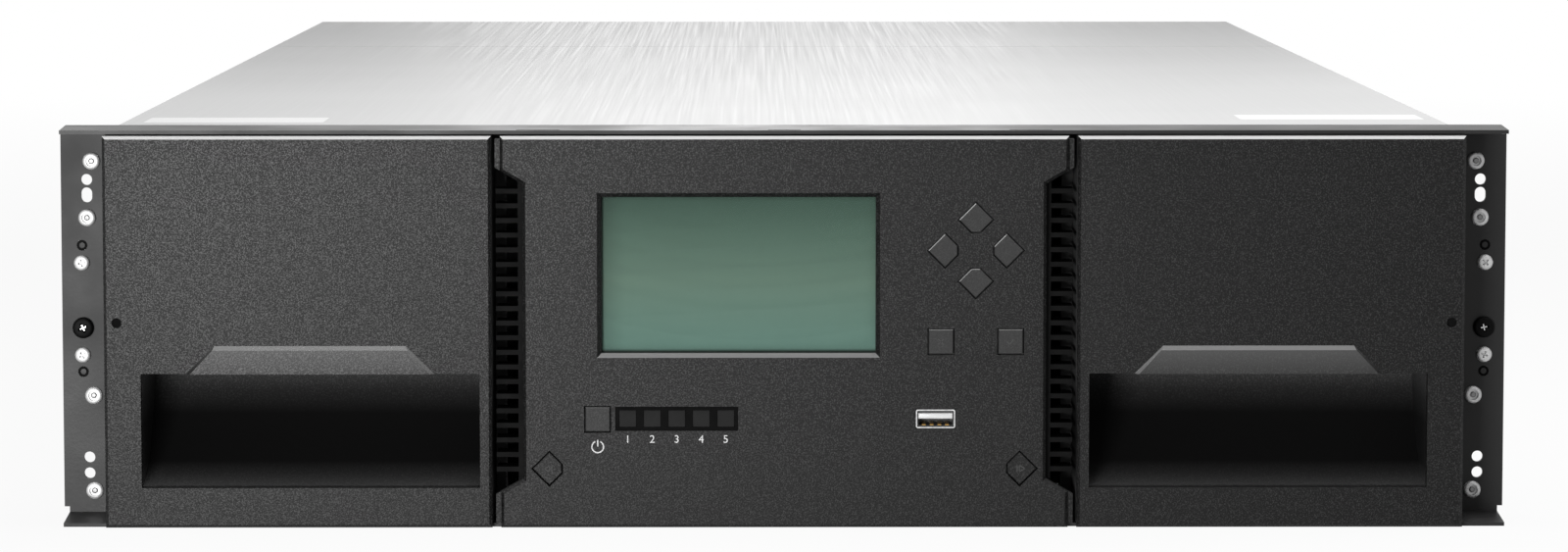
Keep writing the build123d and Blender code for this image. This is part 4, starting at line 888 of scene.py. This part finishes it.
@dataclass
class Fasteners(Assembly):
    """Rivets, pan-head screws and captive rack screws of the ears and covers."""

    rivet_radius: float = 0.0029
    rivet_height: float = 0.0015
    rivet_round: float = 0.75
    mandrel_round: float = 0.4
    insert_round: float = 0.2
    screw_round: float = 0.7
    rack_round: float = 0.6
    bore_radius: float = 0.00135
    bore_depth: float = 0.0011
    mandrel_radius: float = 0.00095
    mandrel_height: float = 0.001
    insert_radius: float = 0.00174
    insert_wall: float = 0.0002
    insert_sheet: float = 0.0003
    insert_boss: float = 0.00105
    insert_rise: float = 0.0009
    insert_depth: float = 0.0013
    insert_places: Tuple[Span, ...] = ((12.4, 90.2), (12.4, 48.1))
    screw_radius: float = 0.0026
    screw_height: float = 0.0017
    screw_cross: Point = (0.00165, 0.00062, 0.0012)
    cross_taper: Point = (0.45, 0.8, 1.0)
    rack_radius: float = 0.0035
    rack_head: float = 0.0019
    rack_shank: float = 0.0025
    rack_neck: float = 0.0034
    rack_collar: float = 0.0015
    rack_reach: float = 0.0145
    rack_cross: Point = (0.0023, 0.0009, 0.0014)
    rack_height: float = 0.0628
    rack_offset: float = 0.01225
    rack_lift: float = 0.0003
    rack_rolls: Tuple[Tuple[str, int, float], ...] = (("left", -1, 0.45), ("right", 1, 0.2))
    thread_pitch: float = 0.0008
    thread_root: float = 0.82
    # Size and taper of the painted glint in the rack screws' recesses.
    glint_size: Point = (0.0026, 0.0006, 0.0012)
    glint_taper: Point = (0.8, 0.5, 1.0)
    rivet_places: Tuple[Span, ...] = ((9.0, 118.2), (10.6, 99.4), (9.0, 40.2), (9.0, 8.4))
    ear_screws: Tuple[Span, ...] = ((12.5, 84.4), (12.5, 53.7))
    cover_screws: Tuple[float, ...] = (95.0, 540.0, 660.8, 804.4)
    cover_screw_height: float = 0.123

    def build(self) -> None:
        """Model every fastener and set it on the CAD's places."""
        self.rivets()
        self.inserts()
        self.screws()
        self.rack_screws()

    def domed(self, radius: float, height: float, rise: float) -> Thing:
        """Model a low round head with a rounded rim.

        Args:
            radius: Radius of the head.
            height: Height of the head.
            rise: Share of the height that the rim's round takes.

        Returns:
            The head, standing on the origin.
        """
        head = self.bench.cylinder(radius, height)
        rim = 0.9 * radius
        self.bench.pick(head, Pick.EDGE, lambda at, along: at.z > 0.99 * height and at.xy.length > rim)
        bpy.ops.mesh.bevel(offset=rise * height, segments=5, profile=0.6)
        self.bench.done()
        return head

    def wings(self, size: Point, height: float, end: int, taper: Point) -> List[Thing]:
        """Model the two crossed bars of a cross recess, tapered towards one end.

        Args:
            size: Size of a bar.
            height: Height of its centre.
            end: End that is narrowed, 1 for the top and -1 for the foot.
            taper: Share of the size that is left there, along each axis.

        Returns:
            The two bars.
        """
        bars: List[Thing] = []
        for turn in (0.0, QUARTER_TURN):
            bar = self.bench.cuboid(size, (0.0, 0.0, height))
            self.bench.pick(bar, Pick.FACE, lambda at, normal: end * normal.z > ALONG)
            bpy.ops.transform.resize(value=taper, center_override=(0.0, 0.0, height))
            self.bench.done()
            bar.rotation_euler = (0.0, 0.0, turn)
            bars.append(self.bench.applied(bar))
        return bars

    def cross_cut(self, head: Thing, top: float, cross: Point) -> None:
        """Cut a cross recess with tapered wings into a head.

        Args:
            head: Head to cut.
            top: Height of the head's crown.
            cross: Reach of a wing from the axis, its width and its depth.
        """
        reach, width, depth = cross
        for wing in self.wings((2 * reach, width, 2 * depth), top, -1, self.cross_taper):
            self.bench.cut(head, wing)

    def rivets(self) -> None:
        """Model the blind rivets: flange, bored crown and broken mandrel."""
        rivet = self.domed(self.rivet_radius, self.rivet_height, self.rivet_round)
        crown = self.rivet_radius - self.rivet_round * self.rivet_height
        self.bench.sunk(rivet, crown - self.bore_radius, self.bore_depth)
        flanges = self.on_ears(rivet, self.rivet_places, EAR_FACE)
        piece = self.bench.dressed(flanges, "ear_blind_rivets", "chassis", "rivet_metal")
        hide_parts("ear_rivets")
        mandrel = self.domed(self.mandrel_radius, self.mandrel_height, self.mandrel_round)
        stems = self.on_ears(mandrel, self.rivet_places, EAR_FACE)
        self.bench.dressed(stems, "rivet_mandrels", "chassis", "rivet_metal", MANDREL)

    def on_ears(self, master: Thing, places: Sequence[Span], depth: float) -> Thing:
        """Copy a fastener to its places on both ears and join the copies.

        Args:
            master: Fastener modelled along +Z, deleted afterwards.
            places: Offset from the body's side and height, in millimetres.
            depth: Y of the plane that the fastener stands on.

        Returns:
            The joined copies.
        """
        copies: List[Thing] = []
        for side in (-1, 1):
            for offset, height in places:
                place = (side * (BODY_SIDE + offset / 1000), depth, height / 1000)
                copies.append(self.bench.placed(master, Facing.FRONT, place))
        bpy.data.objects.remove(master)
        return self.bench.joined(copies)

    def inserts(self) -> None:
        """Model the inserts that close the ears' blind holes, each a black cup with a boss in it."""
        cup = self.bench.cylinder(self.insert_radius, self.insert_rise, 24)
        self.bench.sunk(cup, self.insert_wall, self.insert_rise - self.insert_sheet)
        cups = self.on_ears(cup, self.insert_places, EAR_FACE + self.insert_depth)
        # The cup's near-black finish is partly the insert's dark coat and partly painted shade that deepens
        # the gap round the boss.
        self.bench.dressed(cups, "ear_insert_cups", "chassis", "black_steel", FINISHES["rack_screw_black"])
        boss = self.domed(self.insert_boss, self.insert_rise, self.insert_round)
        floor = EAR_FACE + self.insert_depth - self.insert_sheet
        bosses = self.on_ears(boss, self.insert_places, floor)
        self.bench.dressed(bosses, "ear_insert_bosses", "chassis", "black_steel")

    def screws(self) -> None:
        """Model the pan-head screws of the ears and of the covers' sides."""
        screw = self.domed(self.screw_radius, self.screw_height, self.screw_round)
        self.cross_cut(screw, self.screw_height, self.screw_cross)
        copies: List[Thing] = []
        for side, facing in ((-1, Facing.LEFT), (1, Facing.RIGHT)):
            for index, (offset, height) in enumerate(self.ear_screws):
                place = (side * (BODY_SIDE + offset / 1000), EAR_FACE, height / 1000)
                copies.append(self.bench.placed(screw, Facing.FRONT, place, 0.5 + 0.4 * index + 0.3 * side))
            for index, depth in enumerate(self.cover_screws):
                place = (side * BODY_SIDE, BEZEL_FRONT + depth / 1000, self.cover_screw_height)
                copies.append(self.bench.placed(screw, facing, place, 0.35 * index))
        bpy.data.objects.remove(screw)
        piece = self.bench.dressed(self.bench.joined(copies), "cross_pan_screws", "chassis", "bright_screw")
        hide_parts("pan_head_screws")

    def rack_screws(self) -> None:
        """Model the captive rack screws: cross head, neck, collar and threaded shank."""
        screw = self.domed(self.rack_radius, self.rack_head, self.rack_round)
        self.bench.pick(screw, Pick.FACE, lambda at, normal: normal.z < -ALONG)
        bpy.ops.mesh.inset(thickness=self.rack_radius - self.rack_shank)
        self.bench.extruded((0.0, 0.0, -self.rack_neck))
        self.bench.extruded((0.0, 0.0, 0.0))
        wide = self.rack_radius / self.rack_shank
        bpy.ops.transform.resize(value=(wide, wide, 1.0), center_override=(0.0, 0.0, -self.rack_neck))
        self.bench.extruded((0.0, 0.0, -self.rack_collar))
        bpy.ops.mesh.inset(thickness=self.rack_radius - self.rack_shank)
        low = -self.rack_neck - self.rack_collar
        turns = int(self.rack_reach / self.thread_pitch)
        step = self.rack_reach / (2 * turns)
        for index in range(2 * turns):
            self.bench.extruded((0.0, 0.0, -step))
            low -= step
            swell = self.thread_root if index % 2 == 0 else 1 / self.thread_root
            bpy.ops.transform.resize(value=(swell, swell, 1.0), center_override=(0.0, 0.0, low))
        self.bench.done()
        self.cross_cut(screw, self.rack_head, self.rack_cross)
        for side, sign, roll in self.rack_rolls:
            place = (sign * (BODY_SIDE + self.rack_offset), EAR_FACE - self.rack_lift, self.rack_height)
            copy = self.bench.placed(screw, Facing.FRONT, place, roll)
            body = f"{side}_rack_screw"
            piece = self.bench.dressed(copy, f"{body}_head", body, "rack_screw_black")
            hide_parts(f"{side}_captive_screw")
            self.recess_glint(side, place, roll)
        bpy.data.objects.remove(screw)

    def recess_glint(self, side: str, place: Point, roll: float) -> None:
        """Model a bright metal floor in a rack screw's cross recess, a painted glint in the black head.

        Args:
            side: Side of the screw.
            place: Place of the screw's origin.
            roll: Turn of the screw about its axis.
        """
        low = self.rack_head - self.rack_cross[2]
        cross = self.bench.joined(self.wings(self.glint_size, low, 1, self.glint_taper))
        piece = self.bench.placed(cross, Facing.FRONT, place, roll)
        bpy.data.objects.remove(cross)
        body = f"{side}_rack_screw"
        self.bench.dressed(piece, f"{body}_recess", body, "rack_screw_black", RECESS_GLINT)


@dataclass
class Legends(Assembly):
    """Printed numbers under the lights, and the sign under the power button."""

    number_height: float = 0.0293
    number_size: float = 0.0036
    light_pitch: float = 0.008
    light_centre: float = -0.0352
    sign_x: float = -0.061
    sign_z: float = 0.0269
    sign_radius: float = 0.0021
    gap_width: float = 0.0016
    gap_height: float = 0.003
    bar_length: float = 0.0022
    bar_rise: float = 0.0012
    line: float = 0.0004
    proud: float = 0.00004

    def build(self) -> None:
        """Print the numbers and the sign on the panel."""
        self.numbers()
        self.power_sign()

    def numbers(self) -> None:
        """Set the plain numbers 1 to 5 under the five lights."""
        digits: List[Thing] = []
        for index in range(5):
            self.bench.clear()
            bpy.ops.object.text_add()
            digit = bpy.context.object
            digit.data.body = str(index + 1)
            digit.data.size = self.number_size
            digit.data.align_x = "CENTER"
            digit.data.align_y = "CENTER"
            digit.data.extrude = self.proud
            bpy.ops.object.convert(target="MESH")
            digit = bpy.context.object
            x = self.light_centre + (index - 2) * self.light_pitch
            digit.rotation_euler = Facing.FRONT.value
            digit.location = (x, BEZEL_FRONT, self.number_height)
            digits.append(self.bench.applied(digit))
        self.bench.dressed(self.bench.joined(digits), "light_numbers", "chassis", "bezel_plastic", INK)

    def power_sign(self) -> None:
        """Model the open ring and bar under the power button."""
        ring = self.bench.cylinder(self.sign_radius, self.proud, 48)
        hole = self.bench.cylinder(self.sign_radius - self.line, 4 * self.proud, 48)
        hole.location = (0.0, 0.0, -self.proud)
        self.bench.cut(ring, self.bench.applied(hole))
        gap_size = (self.gap_width, self.gap_height, 4 * self.proud)
        self.bench.cut(ring, self.bench.cuboid(gap_size, (0.0, self.sign_radius, 0.0)))
        bar_size = (self.line, self.bar_length, self.proud)
        bar = self.bench.slip(bar_size, (0.0, self.bar_rise, self.proud / 2), 0.4 * self.line, 3)
        sign = self.bench.joined([ring, bar])
        piece = self.bench.placed(sign, Facing.FRONT, (self.sign_x, BEZEL_FRONT, self.sign_z))
        bpy.data.objects.remove(sign)
        self.bench.dressed(piece, "power_sign", "chassis", "bezel_plastic", INK)


@dataclass
class DataPort(Assembly):
    """Data port of the panel: bright sleeve, black liner, white tongue and sprung contacts."""

    wall: float = 0.0004
    corner: float = 0.0006
    lining: float = 0.0012
    fit: float = 0.00005
    tongue_width: float = 0.0112
    tongue_height: float = 0.0019
    tongue_depth: float = 0.0072
    tongue_rise: float = 0.0009
    tongue_round: float = 0.0003
    tongue_setback: float = 0.0006
    contact_width: float = 0.0012
    contact_length: float = 0.005
    contact_sheet: float = 0.0002
    contact_lift: float = 0.0005
    contact_tip: Point = (0.0, 0.0012, -0.0004)
    contact_setback: float = 0.0015
    contact_pitch: float = 0.0025

    def build(self) -> None:
        """Model the sleeve, the liner, the tongue and the contacts in the CAD port's place."""
        low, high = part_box("data_port")
        centre = (low + high) / 2
        size = high - low
        sleeve = self.shell(size, centre)
        piece = self.bench.dressed(sleeve, "port_sleeve", "chassis", "port_metal")
        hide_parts("data_port")
        slack = 2 * self.wall + self.fit
        inner = size - Vector((slack, self.lining + self.fit, slack))
        liner = self.shell(inner, centre + Vector((0.0, (self.lining - self.wall) / 2, 0.0)))
        self.bench.dressed(liner, "port_liner", "chassis", "socket_black")
        self.tongue(low, centre)
        self.contacts(low, centre)

    def shell(self, size: Vector, centre: Vector) -> Thing:
        """Model a box with rounded corners that is open at the front.

        Args:
            size: Size along each axis.
            centre: Centre of the box.

        Returns:
            The open box.
        """
        shell = self.bench.cuboid(size, centre)
        self.bench.pick(shell, Pick.EDGE, lambda at, along: abs(along.y) > ALONG)
        bpy.ops.mesh.bevel(offset=self.corner, segments=4)
        self.bench.pick(shell, Pick.FACE, lambda at, normal: normal.y < -ALONG)
        bpy.ops.mesh.inset(thickness=self.wall)
        self.bench.extruded((0.0, size.y - self.wall, 0.0))
        self.bench.done()
        return shell

    def tongue(self, low: Vector, centre: Vector) -> None:
        """Model the white tongue that stands in the sleeve.

        Args:
            low: Lowest corner of the port.
            centre: Centre of the port.
        """
        middle = low.y + self.tongue_setback + self.tongue_depth / 2
        size = (self.tongue_width, self.tongue_depth, self.tongue_height)
        tongue = self.bench.cuboid(size, (centre.x, middle, centre.z + self.tongue_rise))
        self.bench.pick(tongue, Pick.EDGE, lambda at, along: at.y < middle and abs(along.y) < 0.1)
        bpy.ops.mesh.bevel(offset=self.tongue_round, segments=2)
        self.bench.done()
        self.bench.dressed(tongue, "port_tongue", "chassis", "port_metal", TONGUE)

    def contacts(self, low: Vector, centre: Vector) -> None:
        """Model four sprung contacts that rise from the sleeve's floor.

        Args:
            low: Lowest corner of the port.
            centre: Centre of the port.
        """
        floor = low.z + 2 * self.wall + self.fit + self.contact_sheet / 2
        middle = low.y + self.contact_setback + self.contact_length / 2
        size = (self.contact_width, self.contact_length, self.contact_sheet)
        strips: List[Thing] = []
        for index in range(4):
            x = centre.x + (index - 1.5) * self.contact_pitch
            strip = self.bench.cuboid(size, (x, middle, floor))
            self.bench.pick(strip, Pick.FACE, lambda at, normal: normal.y > ALONG)
            bpy.ops.transform.translate(value=(0.0, 0.0, self.contact_lift))
            self.bench.extruded(self.contact_tip)
            self.bench.done()
            strips.append(strip)
        self.bench.dressed(self.bench.joined(strips), "port_contacts", "chassis", "port_metal", GOLD)


@dataclass
class ButtonSigns(Assembly):
    """Faint raised signs on four buttons: a cross, a tick and an arrow on each magazine button."""

    line: float = 0.0003
    proud: float = 0.00003
    cross: float = 0.0026
    tick: Tuple[Row, ...] = ((-0.0008, -0.0004, 0.0012, -QUARTER_TURN / 2), (0.0004, 0.0, 0.0022, 0.95))
    arrow: float = 0.0021
    arrow_half: float = 0.0009093
    arrow_slope: float = math.pi / 6
    arrow_gap: float = 0.0007

    def build(self) -> None:
        """Model each sign and set it on its button."""
        diagonal = QUARTER_TURN / 2
        self.sign("back", ((0.0, 0.0, self.cross, diagonal), (0.0, 0.0, self.cross, -diagonal)))
        self.sign("enter", self.tick)
        for side, sign in (("left_magazine", -1), ("right_magazine", 1)):
            strokes = (
                (-sign * self.arrow_half, 0.0, self.arrow, QUARTER_TURN),
                (0.0, self.arrow / 4, self.arrow, -sign * self.arrow_slope),
                (0.0, -self.arrow / 4, self.arrow, sign * self.arrow_slope),
                (-sign * (self.arrow_half + self.arrow_gap), 0.0, self.arrow, QUARTER_TURN),
            )
            self.sign(side, strokes)

    def sign(self, name: str, strokes: Sequence[Row]) -> None:
        """Model a sign from strokes with rounded ends, on one button.

        Args:
            name: Button that carries the sign.
            strokes: Centre across and up, length and angle of each stroke.
        """
        bars: List[Thing] = []
        for across, up, length, angle in strokes:
            size = (length, self.line, self.proud)
            bar = self.bench.slip(size, (0.0, 0.0, self.proud / 2), 0.4 * self.line, 2)
            bar.rotation_euler = (0.0, 0.0, angle)
            bar.location = (across, up, 0.0)
            bars.append(self.bench.applied(bar))
        flat = self.bench.joined(bars)
        low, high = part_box(f"{name}_button")
        centre = (low + high) / 2
        piece = self.bench.placed(flat, Facing.FRONT, (centre.x, low.y, centre.z))
        bpy.data.objects.remove(flat)
        self.bench.dressed(piece, f"{name}_sign", f"{name}_key", "button_plastic", SIGN)


@dataclass
class ReleasePlugs(Assembly):
    """Dark plugs in the release holes of the magazine bezels."""

    inset: float = 0.0042
    height: float = 0.0675
    radius: float = 0.0016
    sheet: float = 0.0008
    rim: float = 0.0004
    dish: float = 0.0003
    setback: float = 0.0016

    def build(self) -> None:
        """Model a dished plug and set one in each bezel's hole."""
        plug = self.bench.cylinder(self.radius, self.sheet, 24)
        self.bench.sunk(plug, self.rim, self.dish)
        for side in ("left", "right"):
            low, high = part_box(f"{side}_magazine_bezel")
            x = low.x + self.inset if side == "left" else high.x - self.inset
            piece = self.bench.placed(plug, Facing.FRONT, (x, BEZEL_FRONT + self.setback, self.height))
            self.bench.dressed(piece, f"{side}_release_plug", f"{side}_magazine", "bezel_plastic", PLUG)
        bpy.data.objects.remove(plug)


@dataclass
class CoverPads(Assembly):
    """Two plain pale pads near the front of the top cover."""

    sheet: float = 0.00001
    corner: float = 0.0015
    top: float = 0.13
    places: Tuple[Row, ...] = (
        (-0.1838, -0.376, 0.06, 0.027), (0.185, -0.361, 0.062, 0.027),
    )

    def build(self) -> None:
        """Model the pads with rounded corners."""
        pads: List[Thing] = []
        for x, y, width, depth in self.places:
            size = (width, depth, self.sheet)
            pads.append(self.bench.slip(size, (x, y, self.top + self.sheet / 2), self.corner, 4))
        self.bench.dressed(self.bench.joined(pads), "cover_pads", "chassis", "cover_steel", PAD)


@dataclass
class RearFittings(Assembly):
    """Inlet sockets, fan guard rings, network contacts and lights of the rear modules."""

    inlet_x: float = -0.121
    inlet_width: float = 0.0268
    inlet_height: float = 0.0198
    inlet_depth: float = 0.0158
    inlet_wall: float = 0.0016
    inlet_corner: float = 0.0045
    fan_x: float = -0.191
    ring_radii: Tuple[float, ...] = (0.0072, 0.0116, 0.0158)
    wire: float = 0.0006
    wire_flat: float = 0.4
    supply_heights: Tuple[float, ...] = (0.036, 0.088)
    port_places: Tuple[float, ...] = (0.124, 0.144)
    port_height: float = 0.056
    contact_size: Point = (0.0004, 0.009, 0.0003)
    contact_pitch: float = 0.00102
    contact_setback: float = 0.007
    contact_rise: float = 0.0042
    contact_slope: float = 0.003
    light_radius: float = 0.0012
    light_height: float = 0.0008
    light_rise: float = 0.004
    light_gap: float = 0.006
    drive_light_x: float = 0.069
    supply_light_x: float = -0.152
    controller_light_x: float = 0.19

    def build(self) -> None:
        """Model every rear fitting."""
        self.inlets()
        self.guards()
        self.network()
        self.lights()

    def inlets(self) -> None:
        """Model the black mains sockets round the inlet pins."""
        size = (self.inlet_width, self.inlet_height, self.inlet_depth)
        inside = (self.inlet_width - self.inlet_wall) / 2
        socket = self.bench.cuboid(size, (0.0, 0.0, -self.inlet_depth / 2))
        self.bench.sunk(socket, self.inlet_wall, self.inlet_depth - self.inlet_wall)
        self.bench.pick(
            socket, Pick.EDGE, lambda at, along: abs(along.z) > ALONG and at.y < 0.0 and abs(at.x) < inside
        )
        bpy.ops.mesh.bevel(offset=self.inlet_corner, segments=1)
        self.bench.done()
        for index, height in enumerate(self.supply_heights, 1):
            piece = self.bench.placed(socket, Facing.BACK, (self.inlet_x, REAR_FACE, height))
            self.bench.dressed(piece, f"inlet_socket_{index}", f"supply_{index}", "socket_black")
        bpy.data.objects.remove(socket)

    def guards(self) -> None:
        """Model the wire rings of the fan guards."""
        rings: List[Thing] = []
        for radius in self.ring_radii:
            self.bench.clear()
            bpy.ops.mesh.primitive_torus_add(
                major_radius=radius, minor_radius=self.wire, major_segments=48, minor_segments=8
            )
            rings.append(bpy.context.object)
        guard = self.bench.joined(rings)
        self.bench.pick(guard, Pick.VERTEX, lambda at, normal: at.z < -0.2 * self.wire)
        bpy.ops.transform.resize(value=(1.0, 1.0, self.wire_flat), center_override=(0.0, 0.0, 0.0))
        self.bench.done()
        for index, height in enumerate(self.supply_heights, 1):
            place = (self.fan_x, REAR_FACE + self.wire_flat * self.wire, height)
            piece = self.bench.placed(guard, Facing.BACK, place)
            self.bench.dressed(piece, f"fan_guard_{index}", f"supply_{index}", "bright_shaft")
        bpy.data.objects.remove(guard)

    def network(self) -> None:
        """Model the contacts in the network ports."""
        wires: List[Thing] = []
        for x in self.port_places:
            for index in range(8):
                across = x + (index - 3.5) * self.contact_pitch
                place = (across, REAR_FACE - self.contact_setback, self.port_height + self.contact_rise)
                wire = self.bench.cuboid(self.contact_size, place)
                self.bench.pick(wire, Pick.FACE, lambda at, normal: normal.y < -ALONG)
                bpy.ops.transform.translate(value=(0.0, 0.0, -self.contact_slope))
                self.bench.done()
                wires.append(wire)
        self.bench.dressed(self.bench.joined(wires), "network_contacts", "controller", "socket_black", GOLD)

    def lights(self) -> None:
        """Model the small domed lights of the modules."""
        light = self.bench.cylinder(self.light_radius, self.light_height, 20)
        self.bench.pick(light, Pick.EDGE, lambda at, along: at.z > 0.9 * self.light_height)
        bpy.ops.mesh.bevel(offset=0.8 * self.light_height, segments=4)
        self.bench.done()
        rows = [(f"drive_{index}", f"drive_sled_{index}", self.drive_light_x) for index in (1, 2, 3)]
        rows += [(f"supply_{index}", f"power_supply_{index}", self.supply_light_x) for index in (1, 2)]
        rows.append(("controller", "controller_module", self.controller_light_x))
        for body, node, x in rows:
            low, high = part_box(node)
            height = (low.z + high.z) / 2 + self.light_rise
            for finish, shift in ((GREEN_LIGHT, 0.0), (AMBER_LIGHT, self.light_gap)):
                piece = self.bench.placed(light, Facing.BACK, (x + shift, REAR_FACE, height))
                self.bench.dressed(piece, f"{body}_{finish.name}", body, "lens_smoke", finish)
        bpy.data.objects.remove(light)


@dataclass(frozen=True)
class Softbox:
    """Rectangular lamp: where it hangs, the point it faces, its size and its power in watts."""

    name: str
    place: Point
    aim: Point
    size: Span
    power: float

    def hang(self) -> None:
        """Add the lamp to the scene."""
        data = bpy.data.lights.new(self.name, "AREA")
        data.shape = "RECTANGLE"
        data.size, data.size_y = self.size
        data.energy = self.power
        light = bpy.data.objects.new(self.name, data)
        light.location = self.place
        light.rotation_euler = (Vector(self.aim) - Vector(self.place)).to_track_quat("-Z", "Y").to_euler()
        bpy.context.scene.collection.objects.link(light)


@dataclass
class Studio(Assembly):
    """Floor, lights, world and camera."""

    camera_place: Point = (-0.00965, -2.1495, 0.236)
    camera_pitch: float = 5.114
    camera_yaw: float = 0.317
    lens: float = 121.16
    floor_reach: float = 30.0
    even_light: float = 0.08
    shadow_reach: Span = (0.7, 2.2)
    floor_white: Span = (0.93, 1.0)
    lamps: Tuple[Softbox, ...] = (
        Softbox("top_softbox", (0.25, -0.4, 0.9), (0.22, -0.36, 0.13), (1.5, 0.6), 12.6),
        Softbox("left_softbox", (-0.4, -1.9, 0.08), (-0.16, -0.43, 0.07), (0.36, 0.14), 17.5),
        Softbox("rear_softbox", (-0.02, 2.0, 0.42), (0.0, -0.43, 0.13), (0.45, 0.24), 1.8),
    )

    def build(self) -> None:
        """Set the stage, the lights and the camera."""
        self.floor()
        self.world()
        for lamp in self.lamps:
            lamp.hang()
        self.camera()

    def floor(self) -> None:
        """Lay the pale floor, which shows white and keeps the object's shadow."""
        self.bench.clear()
        bpy.ops.mesh.primitive_plane_add(size=self.floor_reach, location=(0.0, 0.0, 0.0))
        floor = bpy.context.object
        floor.name = "studio_floor"
        sheet = NodeSheet("studio_floor")
        nodes, links = sheet.nodes, sheet.links
        sheet.set({"Base Color": (0.6, 0.6, 0.6, 1.0), "Roughness": 0.9, "Specular IOR Level": 0.1})
        glow = nodes.new("ShaderNodeEmission")
        glow.inputs["Strength"].default_value = 1.0
        distance = nodes.new("ShaderNodeVectorMath")
        distance.operation = "LENGTH"
        links.new(sheet.place, distance.inputs[0])
        white = sheet.span(distance.outputs["Value"], self.shadow_reach, self.floor_white)
        mix = nodes.new("ShaderNodeMixShader")
        links.new(sheet.times(white, self.seen_rays(sheet.tree)), mix.inputs["Fac"])
        links.new(sheet.shader.outputs["BSDF"], mix.inputs[1])
        links.new(glow.outputs["Emission"], mix.inputs[2])
        links.new(mix.outputs["Shader"], sheet.output.inputs["Surface"])
        floor.data.materials.append(sheet.material)

    def world(self) -> None:
        """Give the world an even pale light, white where it is seen."""
        world = bpy.data.worlds.new("studio")
        bpy.context.scene.world = world
        world.use_nodes = True
        nodes, links = world.node_tree.nodes, world.node_tree.links
        background = nodes["Background"]
        background.inputs["Color"].default_value = (1.0, 1.0, 1.0, 1.0)
        share = nodes.new("ShaderNodeMapRange")
        share.inputs["To Min"].default_value = self.even_light
        share.inputs["To Max"].default_value = 1.0
        links.new(self.seen_rays(world.node_tree), share.inputs["Value"])
        links.new(share.outputs["Result"], background.inputs["Strength"])

    def seen_rays(self, tree: bpy.types.NodeTree) -> Socket:
        """Return 1 for rays that see the backdrop and 0 for rays that it lights.

        Args:
            tree: Node tree to work in.

        Returns:
            The switch between the two.
        """
        rays = tree.nodes.new("ShaderNodeLightPath")
        kinds = ("Is Camera Ray", "Is Glossy Ray", "Is Transmission Ray")
        return folded(tree, "MAXIMUM", [rays.outputs[kind] for kind in kinds])

    def camera(self) -> None:
        """Set the camera at the photograph's viewing angle."""
        data = bpy.data.cameras.new("camera")
        data.lens = self.lens
        data.sensor_width = 36.0
        data.clip_end = 100.0
        camera = bpy.data.objects.new("camera", data)
        camera.location = self.camera_place
        camera.rotation_euler = (
            math.radians(90.0 - self.camera_pitch), 0.0, math.radians(-self.camera_yaw)
        )
        bpy.context.scene.collection.objects.link(camera)
        bpy.context.scene.camera = camera


def dress_nodes(frame: dict, bench: Bench) -> None:
    """Give every CAD node its own finish, or the finish of its material slot.

    Args:
        bench: Modelling bench.
    """
    for subpart in frame["record"]["subparts"]:
        finish = NODE_FINISHES.get(subpart["node"], FINISHES[subpart["material_slot"]])
        for slot in frame["nodes"][subpart["node"]].material_slots:
            slot.material = bench.material(finish)
    LOG.info("dressed %d nodes", len(frame["nodes"]))


def main() -> None:
    """Load the frame, dress its nodes, build each sub-assembly and set the stage."""
    logging.basicConfig(level=logging.INFO, format="%(message)s")
    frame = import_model()
    bpy.context.scene.view_settings.view_transform = "Standard"
    bench = Bench()
    dress_nodes(frame, bench)
    assemblies = (Fasteners, Legends, DataPort, ButtonSigns, ReleasePlugs, CoverPads, RearFittings, Studio)
    for assembly in assemblies:
        assembly(bench).build()
    bench.clear()


if __name__ == "__main__":
    main()
